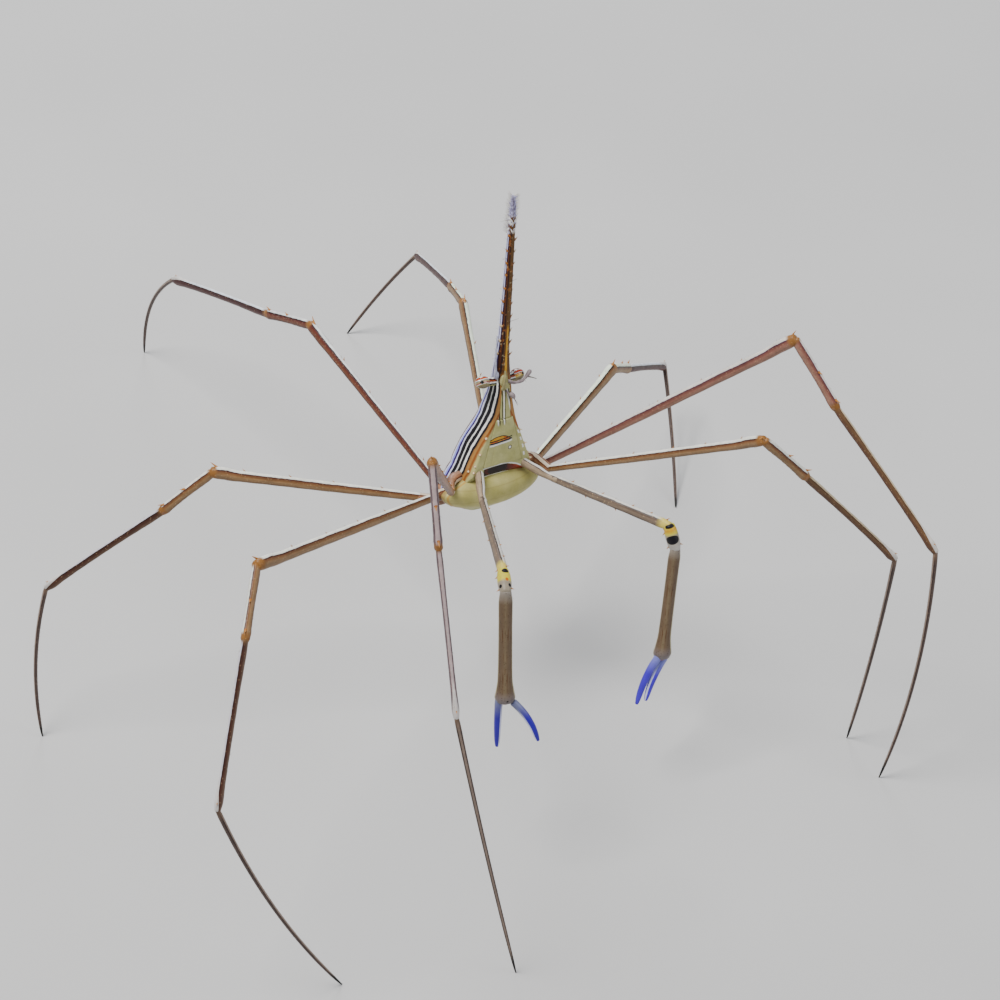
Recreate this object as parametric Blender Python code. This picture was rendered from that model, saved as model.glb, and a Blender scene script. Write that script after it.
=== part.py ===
"""Arrow crab, life size, standing on the eight tips of its walking legs.

Frame: metres, +Z up, the floor at z = 0 under the feet, the crab heading
towards -Y with its rostrum held up.  The crab's own left side is at +X.
The origin is the middle of the standing animal's outline on the floor.

Three kinds of shape make the animal:
  * the body, lofted along its long axis between a few named sections and
    then parted by thin cuts into carapace, mouth plates and sternum;
  * the limbs, tapered tubes from joint to joint, whose directions are given
    in degrees in the stance tables below;
  * small solids: eyes, feelers, abdomen dome, spines and finger tips.
"""
import math

import bmesh
import bpy
from mathutils import Matrix, Vector

MM = 0.001
GAP = 0.3                      # clear space between neighbouring pieces, mm

# ---------------------------------------------------------------- stance (mm, degrees)
ORIGIN_X, ORIGIN_Y = -5.2, 17.64   # middle of the outline, seen from the body
BODY_HEIGHT = 35.0             # height of the body's reference point
BODY_PITCH = 98.0              # rostrum raised from level, just past upright
BODY_ROLL = 11.0               # lean towards the crab's left

# Each limb: shared lengths for the pair, then one direction (azimuth,
# elevation) for each segment of the right and of the left limb.
LEG_LENGTHS = {                # merus, carpus, propodus, dactylus
    1: (44.0, 10.4, 20.5, 39.5),
    2: (43.5, 10.4, 22.4, 37.0),
    3: (31.0, 8.6, 19.4, 23.5),
    4: (38.0, 10.6, 25.0, 23.0),
}
LEG_BASE = {                   # beside, along and above the reference point
    1: (6.9, -0.6, -1.4),
    2: (7.8, -1.3, 0.2),
    3: (7.0, -2.7, 1.3),
    4: (3.9, -4.3, 2.6),
}
LEG_ELBOW = {1: ((4.6, 1.2, -0.4), (7.3, 1.5, -1.0))}   # coxa rounding the abdomen's rim
# outer part's length ratio, (azimuth, elevation) of merus, carpus and
# propodus, and the azimuth of the dactylus, which then reaches the floor
LEG_STANCE = {
    (1, "right"): (1.052, (-128.7, 46.8), (-116.7, -59.8), (-114.1, -57.9), -77.8),
    (1, "left"): (0.921, (-71.7, 33.7), (-21.2, -51.1), (-36.9, -48.6), 115.7),
    (2, "right"): (0.961, (-159.3, 23.7), (-132.5, -24.7), (-139.0, -48.4), -37.3),
    (2, "left"): (1.029, (-41.0, 36.6), (-77.2, -45.6), (-81.6, -35.0), -169.8),
    (3, "right"): (1.019, (146.3, 10.0), (164.5, -33.3), (157.1, -33.4), -143.7),
    (3, "left"): (0.968, (29.4, -7.6), (33.0, -37.8), (31.3, -36.4), -121.2),
    (4, "right"): (1.073, (87.5, 7.2), (95.0, -23.0), (92.5, -20.9), 89.8),
    (4, "left"): (0.922, (62.5, 3.1), (67.4, -23.9), (70.3, -25.7), 130.8),
}
DACTYL_BOW = {                 # outward bow of the dactylus, share of its length
    (1, "right"): 0.015, (1, "left"): 0.01, (2, "right"): 0.043, (2, "left"): 0.04,
    (3, "right"): 0.05, (3, "left"): 0.04, (4, "right"): 0.09, (4, "left"): 0.05,
}
LEG_RADII = {                  # merus, carpus, propodus, dactylus at its root
    1: (0.62, 0.64, 0.54, 0.34),
    2: (0.72, 0.70, 0.62, 0.34),
    3: (0.72, 0.70, 0.60, 0.32),
    4: (0.64, 0.66, 0.62, 0.31),
}
CARPUS_THICKNESS = 0.80        # sideways thickness over height of a segment
PROPODUS_THICKNESS = 0.72
COXA_RADIUS = 0.78
DACTYL_TIP_RADIUS = 0.25

CLAW_BASE = (3.9, 2.2, -3.2)
CLAW_LENGTHS = (3.6, 18.6, 3.3, 15.3, 7.0)   # ischium, merus, carpus, palm, fingers
CLAW_STANCE = {                # directions of those, and of the moving finger
    "right": ((-120, -8), (-116, 10), (-119, -12), (-126, -69), (-134, -77), (-67, -51)),
    "left": ((-62, -15), (-65, -2), (-95, -59), (-139, -64), (-165, -52), (-160, -44)),
}
CLAW_HINGE = {"right": (-32, 1), "left": (11, 7)}   # from fixed to moving finger
CLAW_RADII = (0.62, 0.66, 0.84, 0.93)        # ischium, merus, carpus, palm
PALM_PROFILE = ((0.0, 0.82), (0.10, 1.0), (0.30, 0.98), (0.60, 1.0), (0.80, 1.07),
                (0.91, 1.30), (0.97, 1.48), (1.0, 1.30))
PALM_THICKNESS = 0.80          # across the hinge direction
FINGER_APART = 0.80            # each finger's root from the palm's middle line
FINGER_RADII = (0.50, 0.46, 0.43, 0.36, 0.26)
FINGER_BOW = {"right": 0.9, "left": 1.0}     # outward bow, over the turn from the palm

# ---------------------------------------------------------------- body sections (mm)
# Stations along the body, from the hind margin to the root of the rostrum.
HIND, WAIST, FRONT = -5.0, 2.2, 16.0
HALF_WIDTH = ((HIND, 2.8), (-4.1, 4.7), (-2.2, 6.5), (0.0, 6.3), (WAIST, 5.25),
              (5.7, 3.8), (9.9, 2.1), (13.8, 1.25), (FRONT, 1.08))
BACK_LEVEL = ((HIND, 1.2), (-3.6, 3.3), (-1.0, 4.4), (2.5, 4.3), (6.5, 3.1),
              (10.5, 1.5), (FRONT, -0.2))
FACE_HALF_WIDTH = ((HIND, 2.2), (-4.1, 3.8), (-2.2, 5.4), (0.0, 5.4), (WAIST, 4.9),
                   (5.7, 3.5), (9.9, 1.85), (13.8, 1.0), (FRONT, 0.85))
FACE_LEVEL = ((HIND, -0.2), (-3.6, -1.0), (-0.8, -1.6), (1.2, -2.4), (WAIST, -3.0),
              (5.7, -2.8), (9.9, -2.6), (13.8, -2.4), (FRONT, -2.0))
SHOULDER_LEVEL = 1.1           # height of the widest line of the back

ABDOMEN_CENTRE = (0.4, -0.65, -1.0)
ABDOMEN_RADII = (8.2, 3.05, 3.3)
ABDOMEN_FRONT = 1.45           # its front margin is a pointed arc, 2 would be round
ABDOMEN_RIM = -1.5             # the dome starts below this level

ROSTRUM_LENGTH = 25.6
ROSTRUM_LEVELS = (-1.1, -0.6)  # axis level at its root and at its tip
ROSTRUM_RADII = ((0.0, 1.0), (0.08, 0.86), (0.20, 0.76), (0.40, 0.69), (0.62, 0.60),
                 (0.82, 0.50), (0.94, 0.40), (1.0, 0.26))
ROSTRUM_SPINES = 14            # on each side
EYE_PLACE = {"right": (3.1, 15.4, -1.2), "left": (-2.6, 15.15, -1.2)}
EYE_TURN = {"right": 8.0, "left": -4.0}      # the eye's own lean, degrees
EYE_RADII = (1.15, 0.84, 0.88)
EYE_STALK_RADIUS = 0.52


# ---------------------------------------------------------------- helpers
def smooth(stations, at):
    """Value of a profile between its named stations, eased at each one."""
    if at <= stations[0][0]:
        return stations[0][1]
    for (s0, w0), (s1, w1) in zip(stations, stations[1:]):
        if at <= s1:
            t = (at - s0) / (s1 - s0)
            t = 0.7 * t + 0.3 * t * t * (3 - 2 * t)
            return w0 + (w1 - w0) * t
    return stations[-1][1]


def direction(azimuth, elevation):
    a, e = math.radians(azimuth), math.radians(elevation)
    return Vector((math.cos(e) * math.cos(a), math.cos(e) * math.sin(a), math.sin(e)))


# The body's own axes: X to its right, Y forward along the rostrum, Z to its back.
BODY_MATRIX = (Matrix.Translation(Vector((-ORIGIN_X, -ORIGIN_Y, BODY_HEIGHT)) * MM)
               @ Matrix.Rotation(math.radians(BODY_ROLL), 4, "Y")
               @ Matrix.Rotation(math.pi, 4, "Z")
               @ Matrix.Rotation(math.radians(BODY_PITCH), 4, "X"))


def on_body(x, y, z):
    """World place, in mm, of a point given in the body's own axes."""
    return (BODY_MATRIX @ (Vector((x, y, z)) * MM)) / MM


def beside(side, point):
    """A point of the crab's right side, or its mirror image on the left."""
    return Vector((point[0] if side == "right" else -point[0], point[1], point[2]))


def material(name, colour, roughness=0.45, metallic=0.0):
    mat = bpy.data.materials.new(name)
    mat.use_nodes = True
    shader = mat.node_tree.nodes["Principled BSDF"]
    shader.inputs["Base Color"].default_value = (*colour, 1.0)
    shader.inputs["Roughness"].default_value = roughness
    shader.inputs["Metallic"].default_value = metallic
    mat.diffuse_color = (*colour, 1.0)
    return mat


def new_object(name, mesh, collection):
    obj = bpy.data.objects.new(name, mesh)
    collection.objects.link(obj)
    return obj


def cutter(obj):
    obj.hide_render = True
    obj.display_type = "WIRE"
    return obj


def boolean(obj, other, operation):
    mod = obj.modifiers.new(operation.lower() + "_" + other.name, "BOOLEAN")
    mod.operation = operation
    mod.solver = "EXACT"
    mod.object = other
    return mod


def clean(bm):
    bmesh.ops.remove_doubles(bm, verts=bm.verts, dist=1e-6)
    bmesh.ops.recalc_face_normals(bm, faces=bm.faces)


def tube(name, points, radii, collection, mat, resolution=2):
    """A tapered tube through points (mm), closed by flat caps, as a mesh."""
    curve = bpy.data.curves.new(name, "CURVE")
    curve.dimensions = "3D"
    curve.bevel_depth = MM
    curve.bevel_resolution = resolution
    curve.use_fill_caps = True
    curve.twist_mode = "MINIMUM"
    spline = curve.splines.new("POLY")
    spline.points.add(len(points) - 1)
    for knot, point, radius in zip(spline.points, points, radii):
        knot.co = (*(point * MM), 1.0)
        knot.radius = radius
    source = bpy.data.objects.new(name + "_path", curve)
    collection.objects.link(source)
    bpy.context.view_layer.update()
    evaluated = source.evaluated_get(bpy.context.evaluated_depsgraph_get())
    mesh = bpy.data.meshes.new_from_object(evaluated)
    mesh.name = name
    bpy.data.objects.remove(source)
    bpy.data.curves.remove(curve)
    bm = bmesh.new()
    bm.from_mesh(mesh)
    clean(bm)
    bm.to_mesh(mesh)
    bm.free()
    mesh.shade_smooth()
    mesh.set_sharp_from_angle(angle=math.radians(50))
    mesh.materials.clear()
    mesh.materials.append(mat)
    return new_object(name, mesh, collection)


def cones(name, places, collection):
    """Many small spines in one object: (root, direction, length, radius) each."""
    bm = bmesh.new()
    for root, way, length, radius in places:
        turn = way.to_track_quat("Z", "Y").to_matrix().to_4x4()
        middle = root + way.normalized() * (length / 2)
        bmesh.ops.create_cone(bm, cap_ends=True, cap_tris=False, segments=5,
                              radius1=radius * MM, radius2=radius * 0.25 * MM, depth=length * MM,
                              matrix=Matrix.Translation(middle * MM) @ turn)
    mesh = bpy.data.meshes.new(name)
    bm.to_mesh(mesh)
    bm.free()
    return cutter(new_object(name, mesh, collection))


def between(start, end, count, bow=Vector((0, 0, 0))):
    """Points from start to end, bowed sideways by a parabola."""
    return [start.lerp(end, i / (count - 1)) + bow * (4 * (i / (count - 1)) * (1 - i / (count - 1)))
            for i in range(count)]


def mitre(obj, joint, first, second, end):
    """Slants one end of a segment to the plane that halves the bend at a joint.

    end is -1 for the far end of the first segment and +1 for the near end of
    the second one; each stops half a gap short of the plane."""
    normal = (first + second).normalized()
    plane = (joint + normal * (end * GAP / 2)) * MM
    along = first if end < 0 else second
    for vertex in obj.data.vertices:
        if -end * (vertex.co - joint * MM).dot(along) > -0.00002:
            vertex.co += along * ((plane - vertex.co).dot(normal) / along.dot(normal))
    return obj


def flatten(obj, point, across, share):
    """Thins a straight segment through point along one sideways direction."""
    for vertex in obj.data.vertices:
        vertex.co -= across * ((vertex.co - point * MM).dot(across) * (1.0 - share))
    return obj


# ---------------------------------------------------------------- body
def body_ring(y, grow):
    """One section of the body: round back, steep flanks and a flat face."""
    width = smooth(HALF_WIDTH, y) + grow
    top = smooth(BACK_LEVEL, y) + grow
    face = smooth(FACE_HALF_WIDTH, y) + grow
    low = smooth(FACE_LEVEL, y) - grow
    shoulder = min(SHOULDER_LEVEL, low + 0.62 * (top - low))
    ring = []
    for i in range(9):                       # over the back, right to left
        angle = math.pi * i / 8
        ring.append((width * math.cos(angle), y, shoulder + (top - shoulder) * math.sin(angle)))
    for share in (0.36, 0.72):               # down the left flank
        ring.append((-(width + (face - width) * share ** 1.6), y, shoulder + (low - shoulder) * share))
    for i in range(5):                       # across the face, slightly domed
        t = -1 + i / 2
        ring.append((face * t, y, low - 0.16 * (1 - t * t)))
    for share in (0.72, 0.36):               # up the right flank
        ring.append((width + (face - width) * share ** 1.6, y, shoulder + (low - shoulder) * share))
    return ring


def body_mesh(name, grow=0.0):
    """The whole trunk as one closed loft; grow gives its clearance shape."""
    stations = [HIND - grow, -4.5, -3.8, -2.6, -1.3, 0.0, 1.2, 2.4, 3.8, 5.4, 7.2, 9.0, 10.8,
                12.6, 14.4, FRONT + grow]
    bm = bmesh.new()
    rings = [[bm.verts.new(Vector(p) * MM) for p in body_ring(y, grow)] for y in stations]
    for ring, after in zip(rings, rings[1:]):
        for i in range(len(ring)):
            j = (i + 1) % len(ring)
            bm.faces.new((ring[i], ring[j], after[j], after[i]))
    bm.faces.new(rings[0])
    bm.faces.new(list(reversed(rings[-1])))
    clean(bm)
    mesh = bpy.data.meshes.new(name)
    bm.to_mesh(mesh)
    bm.free()
    mesh.shade_smooth()
    mesh.set_sharp_from_angle(angle=math.radians(40))
    return mesh


def dome_mesh(name):
    """The abdomen's dome; its front margin falls off to pointed ends."""
    bm = bmesh.new()
    bmesh.ops.create_uvsphere(bm, u_segments=28, v_segments=14, radius=1.0)
    for vertex in bm.verts:
        x, y, z = vertex.co
        reach = math.sqrt(max(0.0, 1.0 - x * x))
        if y > 0 and reach > 1e-3:
            y *= (1.0 - abs(x) ** ABDOMEN_FRONT) ** (1.0 / ABDOMEN_FRONT) / reach
        vertex.co = (Vector(v * r for v, r in zip((x, y, z), ABDOMEN_RADII)) + Vector(ABDOMEN_CENTRE)) * MM
    mesh = bpy.data.meshes.new(name)
    bm.to_mesh(mesh)
    bm.free()
    return mesh


def prism(name, outline, floor_front, floor_back, grow, collection):
    """A tapered block under the face: outline is (x, y) corners, its roof
    level runs from floor_back at the hind end to floor_front at the front."""
    ys = [y for _, y in outline]
    low, high = min(ys), max(ys)
    cx = sum(x for x, _ in outline) / len(outline)
    cy = sum(ys) / len(outline)
    bm = bmesh.new()
    roof, base = [], []
    for x, y in outline:
        x += grow * (1 if x > cx else -1)
        level = floor_back + (floor_front - floor_back) * (y - low) / (high - low) + grow
        y += grow * (1 if y > cy else -1)
        roof.append(bm.verts.new(Vector((x, y, level)) * MM))
        base.append(bm.verts.new(Vector((x, y, -8.0)) * MM))
    bm.faces.new(roof)
    bm.faces.new(list(reversed(base)))
    for i in range(len(outline)):
        j = (i + 1) % len(outline)
        bm.faces.new((roof[j], roof[i], base[i], base[j]))
    clean(bm)
    mesh = bpy.data.meshes.new(name)
    bm.to_mesh(mesh)
    bm.free()
    return cutter(new_object(name, mesh, collection))


def build_body(parts, helpers, frame, mats):
    def child(obj):
        obj.parent = frame
        return obj

    clearance = cutter(child(new_object("body_clearance", body_mesh("body_clearance", GAP), helpers)))

    carapace = child(new_object("carapace", body_mesh("carapace"), parts))
    carapace.data.materials.append(mats["shell"])

    # mouth plates, epistome and sternum are parted from the face
    blocks = {                     # outline corners, roof level in front and behind
        "epistome": ([(-0.95, 10.1), (0.95, 10.1), (0.55, 15.4), (-0.55, 15.4)], -1.35, -1.7),
        "mouth": ([(-3.2, 3.1), (3.2, 3.1), (1.35, 9.7), (-1.35, 9.7)], -1.7, -2.0),
        "sternum": ([(-4.1, -3.2), (4.1, -3.2), (4.1, 2.7), (-4.1, 2.7)], -2.0, 0.0),
    }
    for name, (corners, front_level, back_level) in blocks.items():
        outer = child(prism(name + "_pocket", corners, front_level, back_level, GAP, helpers))
        boolean(carapace, outer, "DIFFERENCE")
        if name != "mouth":
            plate = child(new_object(name, body_mesh(name), parts))
            plate.data.materials.append(mats["face"])
            boolean(plate, child(prism(name + "_block", corners, front_level, back_level, 0.0, helpers)),
                    "INTERSECT")
            continue
        # the mouth is covered by a pair of plates that meet along the middle line
        for side in ("right", "left"):
            half = [beside(side, (abs(x), y, 0)) for x, y in corners[1:3]]
            middle = [beside(side, (GAP / 2, y, 0)) for y in (corners[2][1], corners[1][1])]
            outline = [(p.x, p.y) for p in half + middle]
            plate = child(new_object("maxilliped_" + side, body_mesh("maxilliped_" + side), parts))
            plate.data.materials.append(mats["face"])
            boolean(plate, child(prism("maxilliped_%s_block" % side, outline, front_level, back_level, 0.0,
                                       helpers)), "INTERSECT")

    # the broad domed abdomen folded under the sternum
    mesh = dome_mesh("abdomen")
    mesh.shade_smooth()
    mesh.materials.append(mats["belly"])
    abdomen = child(new_object("abdomen", mesh, parts))
    bm = bmesh.new()
    bmesh.ops.create_cube(bm, size=MM, matrix=Matrix.Translation(Vector((0, 0, ABDOMEN_RIM + 10)) * MM)
                          @ Matrix.Diagonal((30, 30, 20, 1)))
    mesh = bpy.data.meshes.new("abdomen_rim")
    bm.to_mesh(mesh)
    bm.free()
    boolean(abdomen, cutter(child(new_object("abdomen_rim", mesh, helpers))), "DIFFERENCE")
    boolean(abdomen, clearance, "DIFFERENCE")
    return clearance


def build_rostrum(parts, helpers, mats):
    root = Vector((0, FRONT + GAP, ROSTRUM_LEVELS[0]))
    tip = Vector((0, FRONT + GAP + ROSTRUM_LENGTH, ROSTRUM_LEVELS[1]))
    points = [on_body(*root.lerp(tip, t)) for t, _ in ROSTRUM_RADII]
    rostrum = tube("rostrum", points, [r for _, r in ROSTRUM_RADII], parts, mats["rostrum"], 3)
    places = []
    for i in range(ROSTRUM_SPINES):
        t = 0.10 + 0.82 * (i / (ROSTRUM_SPINES - 1)) ** 0.95
        radius = smooth(ROSTRUM_RADII, t)
        for s in (1, -1):
            shift = 0.012 if s > 0 else 0.0
            centre = root.lerp(tip, t + shift)
            start = centre + Vector((s * (radius - 0.28), 0, 0.05))
            way = Vector((s * 0.72, 0.68, 0.10 * math.sin(2.3 * i)))
            head = on_body(*start)
            places.append((head, on_body(*(start + way)) - head, 0.95, 0.24))
    boolean(rostrum, cones("rostrum_spines", places, helpers), "UNION")


def build_head(parts, helpers, mats):
    for side in ("right", "left"):
        place = Vector(EYE_PLACE[side])
        inner = beside(side, (smooth(HALF_WIDTH, 15.1) + GAP, 15.1, -1.25))
        eye = tube("eye_" + side, [on_body(*inner), on_body(*inner.lerp(place, 0.6)), on_body(*place)],
                   [EYE_STALK_RADIUS * 0.9, EYE_STALK_RADIUS, EYE_STALK_RADIUS * 1.1], parts, mats["eye"])
        bm = bmesh.new()
        bmesh.ops.create_uvsphere(bm, u_segments=16, v_segments=10, radius=MM,
                                  matrix=BODY_MATRIX @ Matrix.Translation(place * MM)
                                  @ Matrix.Rotation(math.radians(EYE_TURN[side]), 4, "Z")
                                  @ Matrix.Diagonal((*EYE_RADII, 1.0)))
        mesh = bpy.data.meshes.new("eyeball_" + side)
        bm.to_mesh(mesh)
        bm.free()
        boolean(eye, cutter(new_object("eyeball_" + side, mesh, helpers)), "UNION")

    # antennae beside the rostrum, antennules folded out under it
    antennae = {
        "right": ((1.42, 16.5, -1.75), (1.50, 18.0, -1.6), (1.42, 19.8, -1.4), (1.30, 21.8, -1.2)),
        "left": ((-1.2, 14.95, -2.75), (-2.57, 14.7, -2.6), (-3.47, 15.3, -2.4), (-4.14, 15.95, -2.2)),
    }
    antennules = {
        "right": ((0.62, 14.4, -2.68), (0.60, 15.1, -2.85), (0.50, 16.0, -2.75), (0.42, 17.2, -2.45)),
        "left": ((-0.15, 13.9, -2.78), (-0.54, 13.6, -3.2), (-0.90, 12.9, -3.4), (-1.5, 11.75, -3.5)),
    }
    for side in ("right", "left"):
        tube("antenna_" + side, [on_body(*p) for p in antennae[side]], [0.34, 0.32, 0.34, 0.25],
             parts, mats["feeler"])
        tube("antennule_" + side, [on_body(*p) for p in antennules[side]], [0.32, 0.30, 0.32, 0.25],
             parts, mats["feeler"])


# ---------------------------------------------------------------- limbs
def segment(name, start, end, radii, parts, mat, bow=Vector((0, 0, 0)), shares=None):
    """A limb segment between two points with its radii spread evenly along it."""
    count = len(radii)
    shares = shares or [i / (count - 1) for i in range(count)]
    points = [start.lerp(end, t) + bow * (4 * t * (1 - t)) for t in shares]
    return tube(name, points, radii, parts, mat)


def build_leg(number, side, parts, helpers, clearance, floor, mats):
    label = "leg%d_%s_" % (number, side)
    outer_ratio, merus_way, carpus_way, propodus_way, dactyl_azimuth = LEG_STANCE[(number, side)]
    merus_long, carpus_long, propodus_long, dactyl_long = LEG_LENGTHS[number]
    carpus_long, propodus_long, dactyl_long = (outer_ratio * v for v in
                                               (carpus_long, propodus_long, dactyl_long))
    r_merus, r_carpus, r_propodus, r_dactyl = LEG_RADII[number]

    base = on_body(*beside(side, LEG_BASE[number]))
    knee = base + direction(*merus_way) * merus_long
    ankle = knee + direction(*carpus_way) * carpus_long
    wrist = ankle + direction(*propodus_way) * propodus_long
    fall = math.degrees(math.asin(min(1.0, wrist.z / dactyl_long)))
    toe = wrist + direction(dactyl_azimuth, -fall) * dactyl_long

    u1, u2, u3, u4 = ((b - a).normalized() for a, b in
                      ((base, knee), (knee, ankle), (ankle, wrist), (wrist, toe)))

    # merus with the short coxa and ischium at its root
    inside = on_body(*beside(side, (LEG_BASE[number][0] - 2.6, LEG_BASE[number][1] + 0.2, LEG_BASE[number][2] - 0.1)))
    points = [inside, base - u1 * 0.2, base + u1 * 1.2, base + u1 * 2.6]
    radii = [COXA_RADIUS, COXA_RADIUS, 0.62, 0.52]
    if number in LEG_ELBOW:
        inside, elbow = (on_body(*beside(side, p)) for p in LEG_ELBOW[number])
        first, last = inside.lerp(elbow, 0.6), base + u1 * 3.2
        points = [inside, first] + [first.lerp(elbow, t).lerp(elbow.lerp(last, t), t) for t in (0.35, 0.7)] + [last]
        radii = [COXA_RADIUS, COXA_RADIUS, 0.70, 0.60, 0.52]
    for t, r in ((0.16, 0.84), (0.34, 0.94), (0.52, 1.0), (0.70, 1.03), (0.86, 1.10), (0.94, 1.22), (1.0, 1.06)):
        points.append(base.lerp(knee, t))
        radii.append(r * r_merus)
    merus = mitre(tube(label + "merus", points, radii, parts, mats["leg"]), knee, u1, u2, -1)
    boolean(merus, clearance, "DIFFERENCE")
    up_side = (u1 - u2).normalized()
    spine_root = knee - u1 * 1.5 + up_side * (r_merus * 0.55)
    boolean(merus, cones(label + "knee_spine", [(spine_root, (up_side + u1 * 0.84).normalized(), 1.9, 0.32)],
                         helpers), "UNION")

    carpus = segment(label + "carpus", knee, ankle,
                     [r_carpus * 1.0, r_carpus * 1.08, r_carpus, r_carpus * 1.14, r_carpus * 0.92],
                     parts, mats["leg"], shares=[0.0, 0.16, 0.5, 0.90, 1.0])
    across = u2.cross(Vector((0, 0, 1))).normalized()
    flatten(carpus, knee, across, CARPUS_THICKNESS)
    mitre(carpus, knee, u1, u2, 1)
    mitre(carpus, ankle, u2, u3, -1)
    side_up = across.cross(u2).normalized()
    carpus_spines = [(knee.lerp(ankle, t) + side_up * (r_carpus * 0.5), (side_up + u2 * 0.8).normalized(), 1.2, 0.26)
                     for t in (0.50, 0.90)]
    boolean(carpus, cones(label + "carpus_spines", carpus_spines, helpers), "UNION")
    propodus = segment(label + "propodus", ankle, wrist,
                       [r_propodus * 0.98, r_propodus * 1.06, r_propodus * 0.94, r_propodus * 0.96,
                        r_propodus * 1.24, r_propodus * 0.86],
                       parts, mats["shin"], shares=[0.0, 0.08, 0.35, 0.7, 0.95, 1.0])
    flatten(propodus, ankle, u3.cross(Vector((0, 0, 1))).normalized(), PROPODUS_THICKNESS)
    mitre(propodus, ankle, u2, u3, 1)
    mitre(propodus, wrist, u3, u4, -1)

    # dactylus, bowed outward, its tip cut level by the floor
    chord = toe - wrist
    outward = (u3 - u4 * u3.dot(u4)).normalized()
    bow = outward * (DACTYL_BOW[(number, side)] * chord.length)
    end = toe + u4 * (0.55 / max(0.35, math.sin(math.radians(fall))))
    path = between(wrist, toe, 8, bow) + [end]
    radii = [r_dactyl * 0.95, r_dactyl * 1.04] + [r_dactyl + (DACTYL_TIP_RADIUS - r_dactyl) * (i / 6) ** 0.7
                                                  for i in range(1, 7)]
    radii.append(DACTYL_TIP_RADIUS)
    dactyl = mitre(tube(label + "dactylus", path, radii, parts, mats["claw_tip"]), wrist, u3, u4, 1)
    boolean(dactyl, floor, "DIFFERENCE")


def build_claw(side, parts, clearance, mats, helpers):
    label = "claw_%s_" % side
    ways = [direction(*w) for w in CLAW_STANCE[side]]
    joints = [on_body(*beside(side, CLAW_BASE))]
    for way, length in zip(ways[:5], CLAW_LENGTHS):
        joints.append(joints[-1] + way * length)
    base, hip, elbow, wrist, grip, tip = joints
    r_ischium, r_merus, r_carpus, r_palm = CLAW_RADII

    inside = on_body(*beside(side, (CLAW_BASE[0] - 0.6, CLAW_BASE[1] + 0.3, CLAW_BASE[2] + 1.6)))
    arm = tube(label + "merus",
               [inside, base, base.lerp(hip, 0.5), hip, hip + ways[1] * 1.4] +
               [hip.lerp(elbow, t) for t in (0.25, 0.5, 0.75, 0.92, 1.0)],
               [0.66, 0.66, 0.58, 0.50, 0.52, r_merus * 0.88, r_merus * 0.96, r_merus, r_merus * 1.06, r_merus * 0.9],
               parts, mats["arm"])
    mitre(arm, elbow, ways[1], ways[2], -1)
    boolean(arm, clearance, "DIFFERENCE")
    carpus = segment(label + "carpus", elbow, wrist,
                     [r_carpus * 0.92, r_carpus * 1.06, r_carpus * 1.10, r_carpus * 1.04, r_carpus * 0.86],
                     parts, mats["arm"], shares=[0.0, 0.25, 0.5, 0.78, 1.0])
    mitre(carpus, elbow, ways[1], ways[2], 1)
    mitre(carpus, wrist, ways[2], ways[3], -1)

    # palm, flared at the fingers, with the fixed finger as one piece
    hinge = direction(*CLAW_HINGE[side])
    hinge = (hinge - ways[3] * hinge.dot(ways[3])).normalized()
    hand = tube(label + "palm", [wrist.lerp(grip, t) for t, _ in PALM_PROFILE],
                [r_palm * r for _, r in PALM_PROFILE], parts, mats["hand"])
    flatten(hand, wrist, ways[3].cross(hinge).normalized(), PALM_THICKNESS)
    mitre(hand, wrist, ways[2], ways[3], 1)
    shares = (0.0, 0.25, 0.5, 0.75, 1.0)
    bow = ways[3].cross(ways[4]).cross(ways[4]) * FINGER_BOW[side]
    root = grip - hinge * FINGER_APART
    reach = root + ways[4] * CLAW_LENGTHS[4]
    fixed = [root - ways[3] * 0.9] + [root.lerp(reach, t) + bow * (4 * t * (1 - t)) for t in shares]
    boolean(hand, cutter(tube(label + "fixed_finger", fixed, FINGER_RADII[:1] + FINGER_RADII, helpers,
                              mats["finger"])), "UNION")

    # the moving finger beside it, just clear of the palm
    bow = ways[3].cross(ways[5]).cross(ways[5]) * FINGER_BOW[side]
    root = grip + hinge * FINGER_APART
    reach = root + ways[5] * (CLAW_LENGTHS[4] - 0.4)
    lean = math.sqrt(max(0.0, 1.0 - ways[3].dot(ways[5]) ** 2))
    root = root + ways[5] * ((GAP + FINGER_RADII[0] * lean) / ways[3].dot(ways[5]))
    tube(label + "finger", [root.lerp(reach, t) + bow * (4 * t * (1 - t)) for t in shares],
         FINGER_RADII, parts, mats["finger"])


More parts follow.
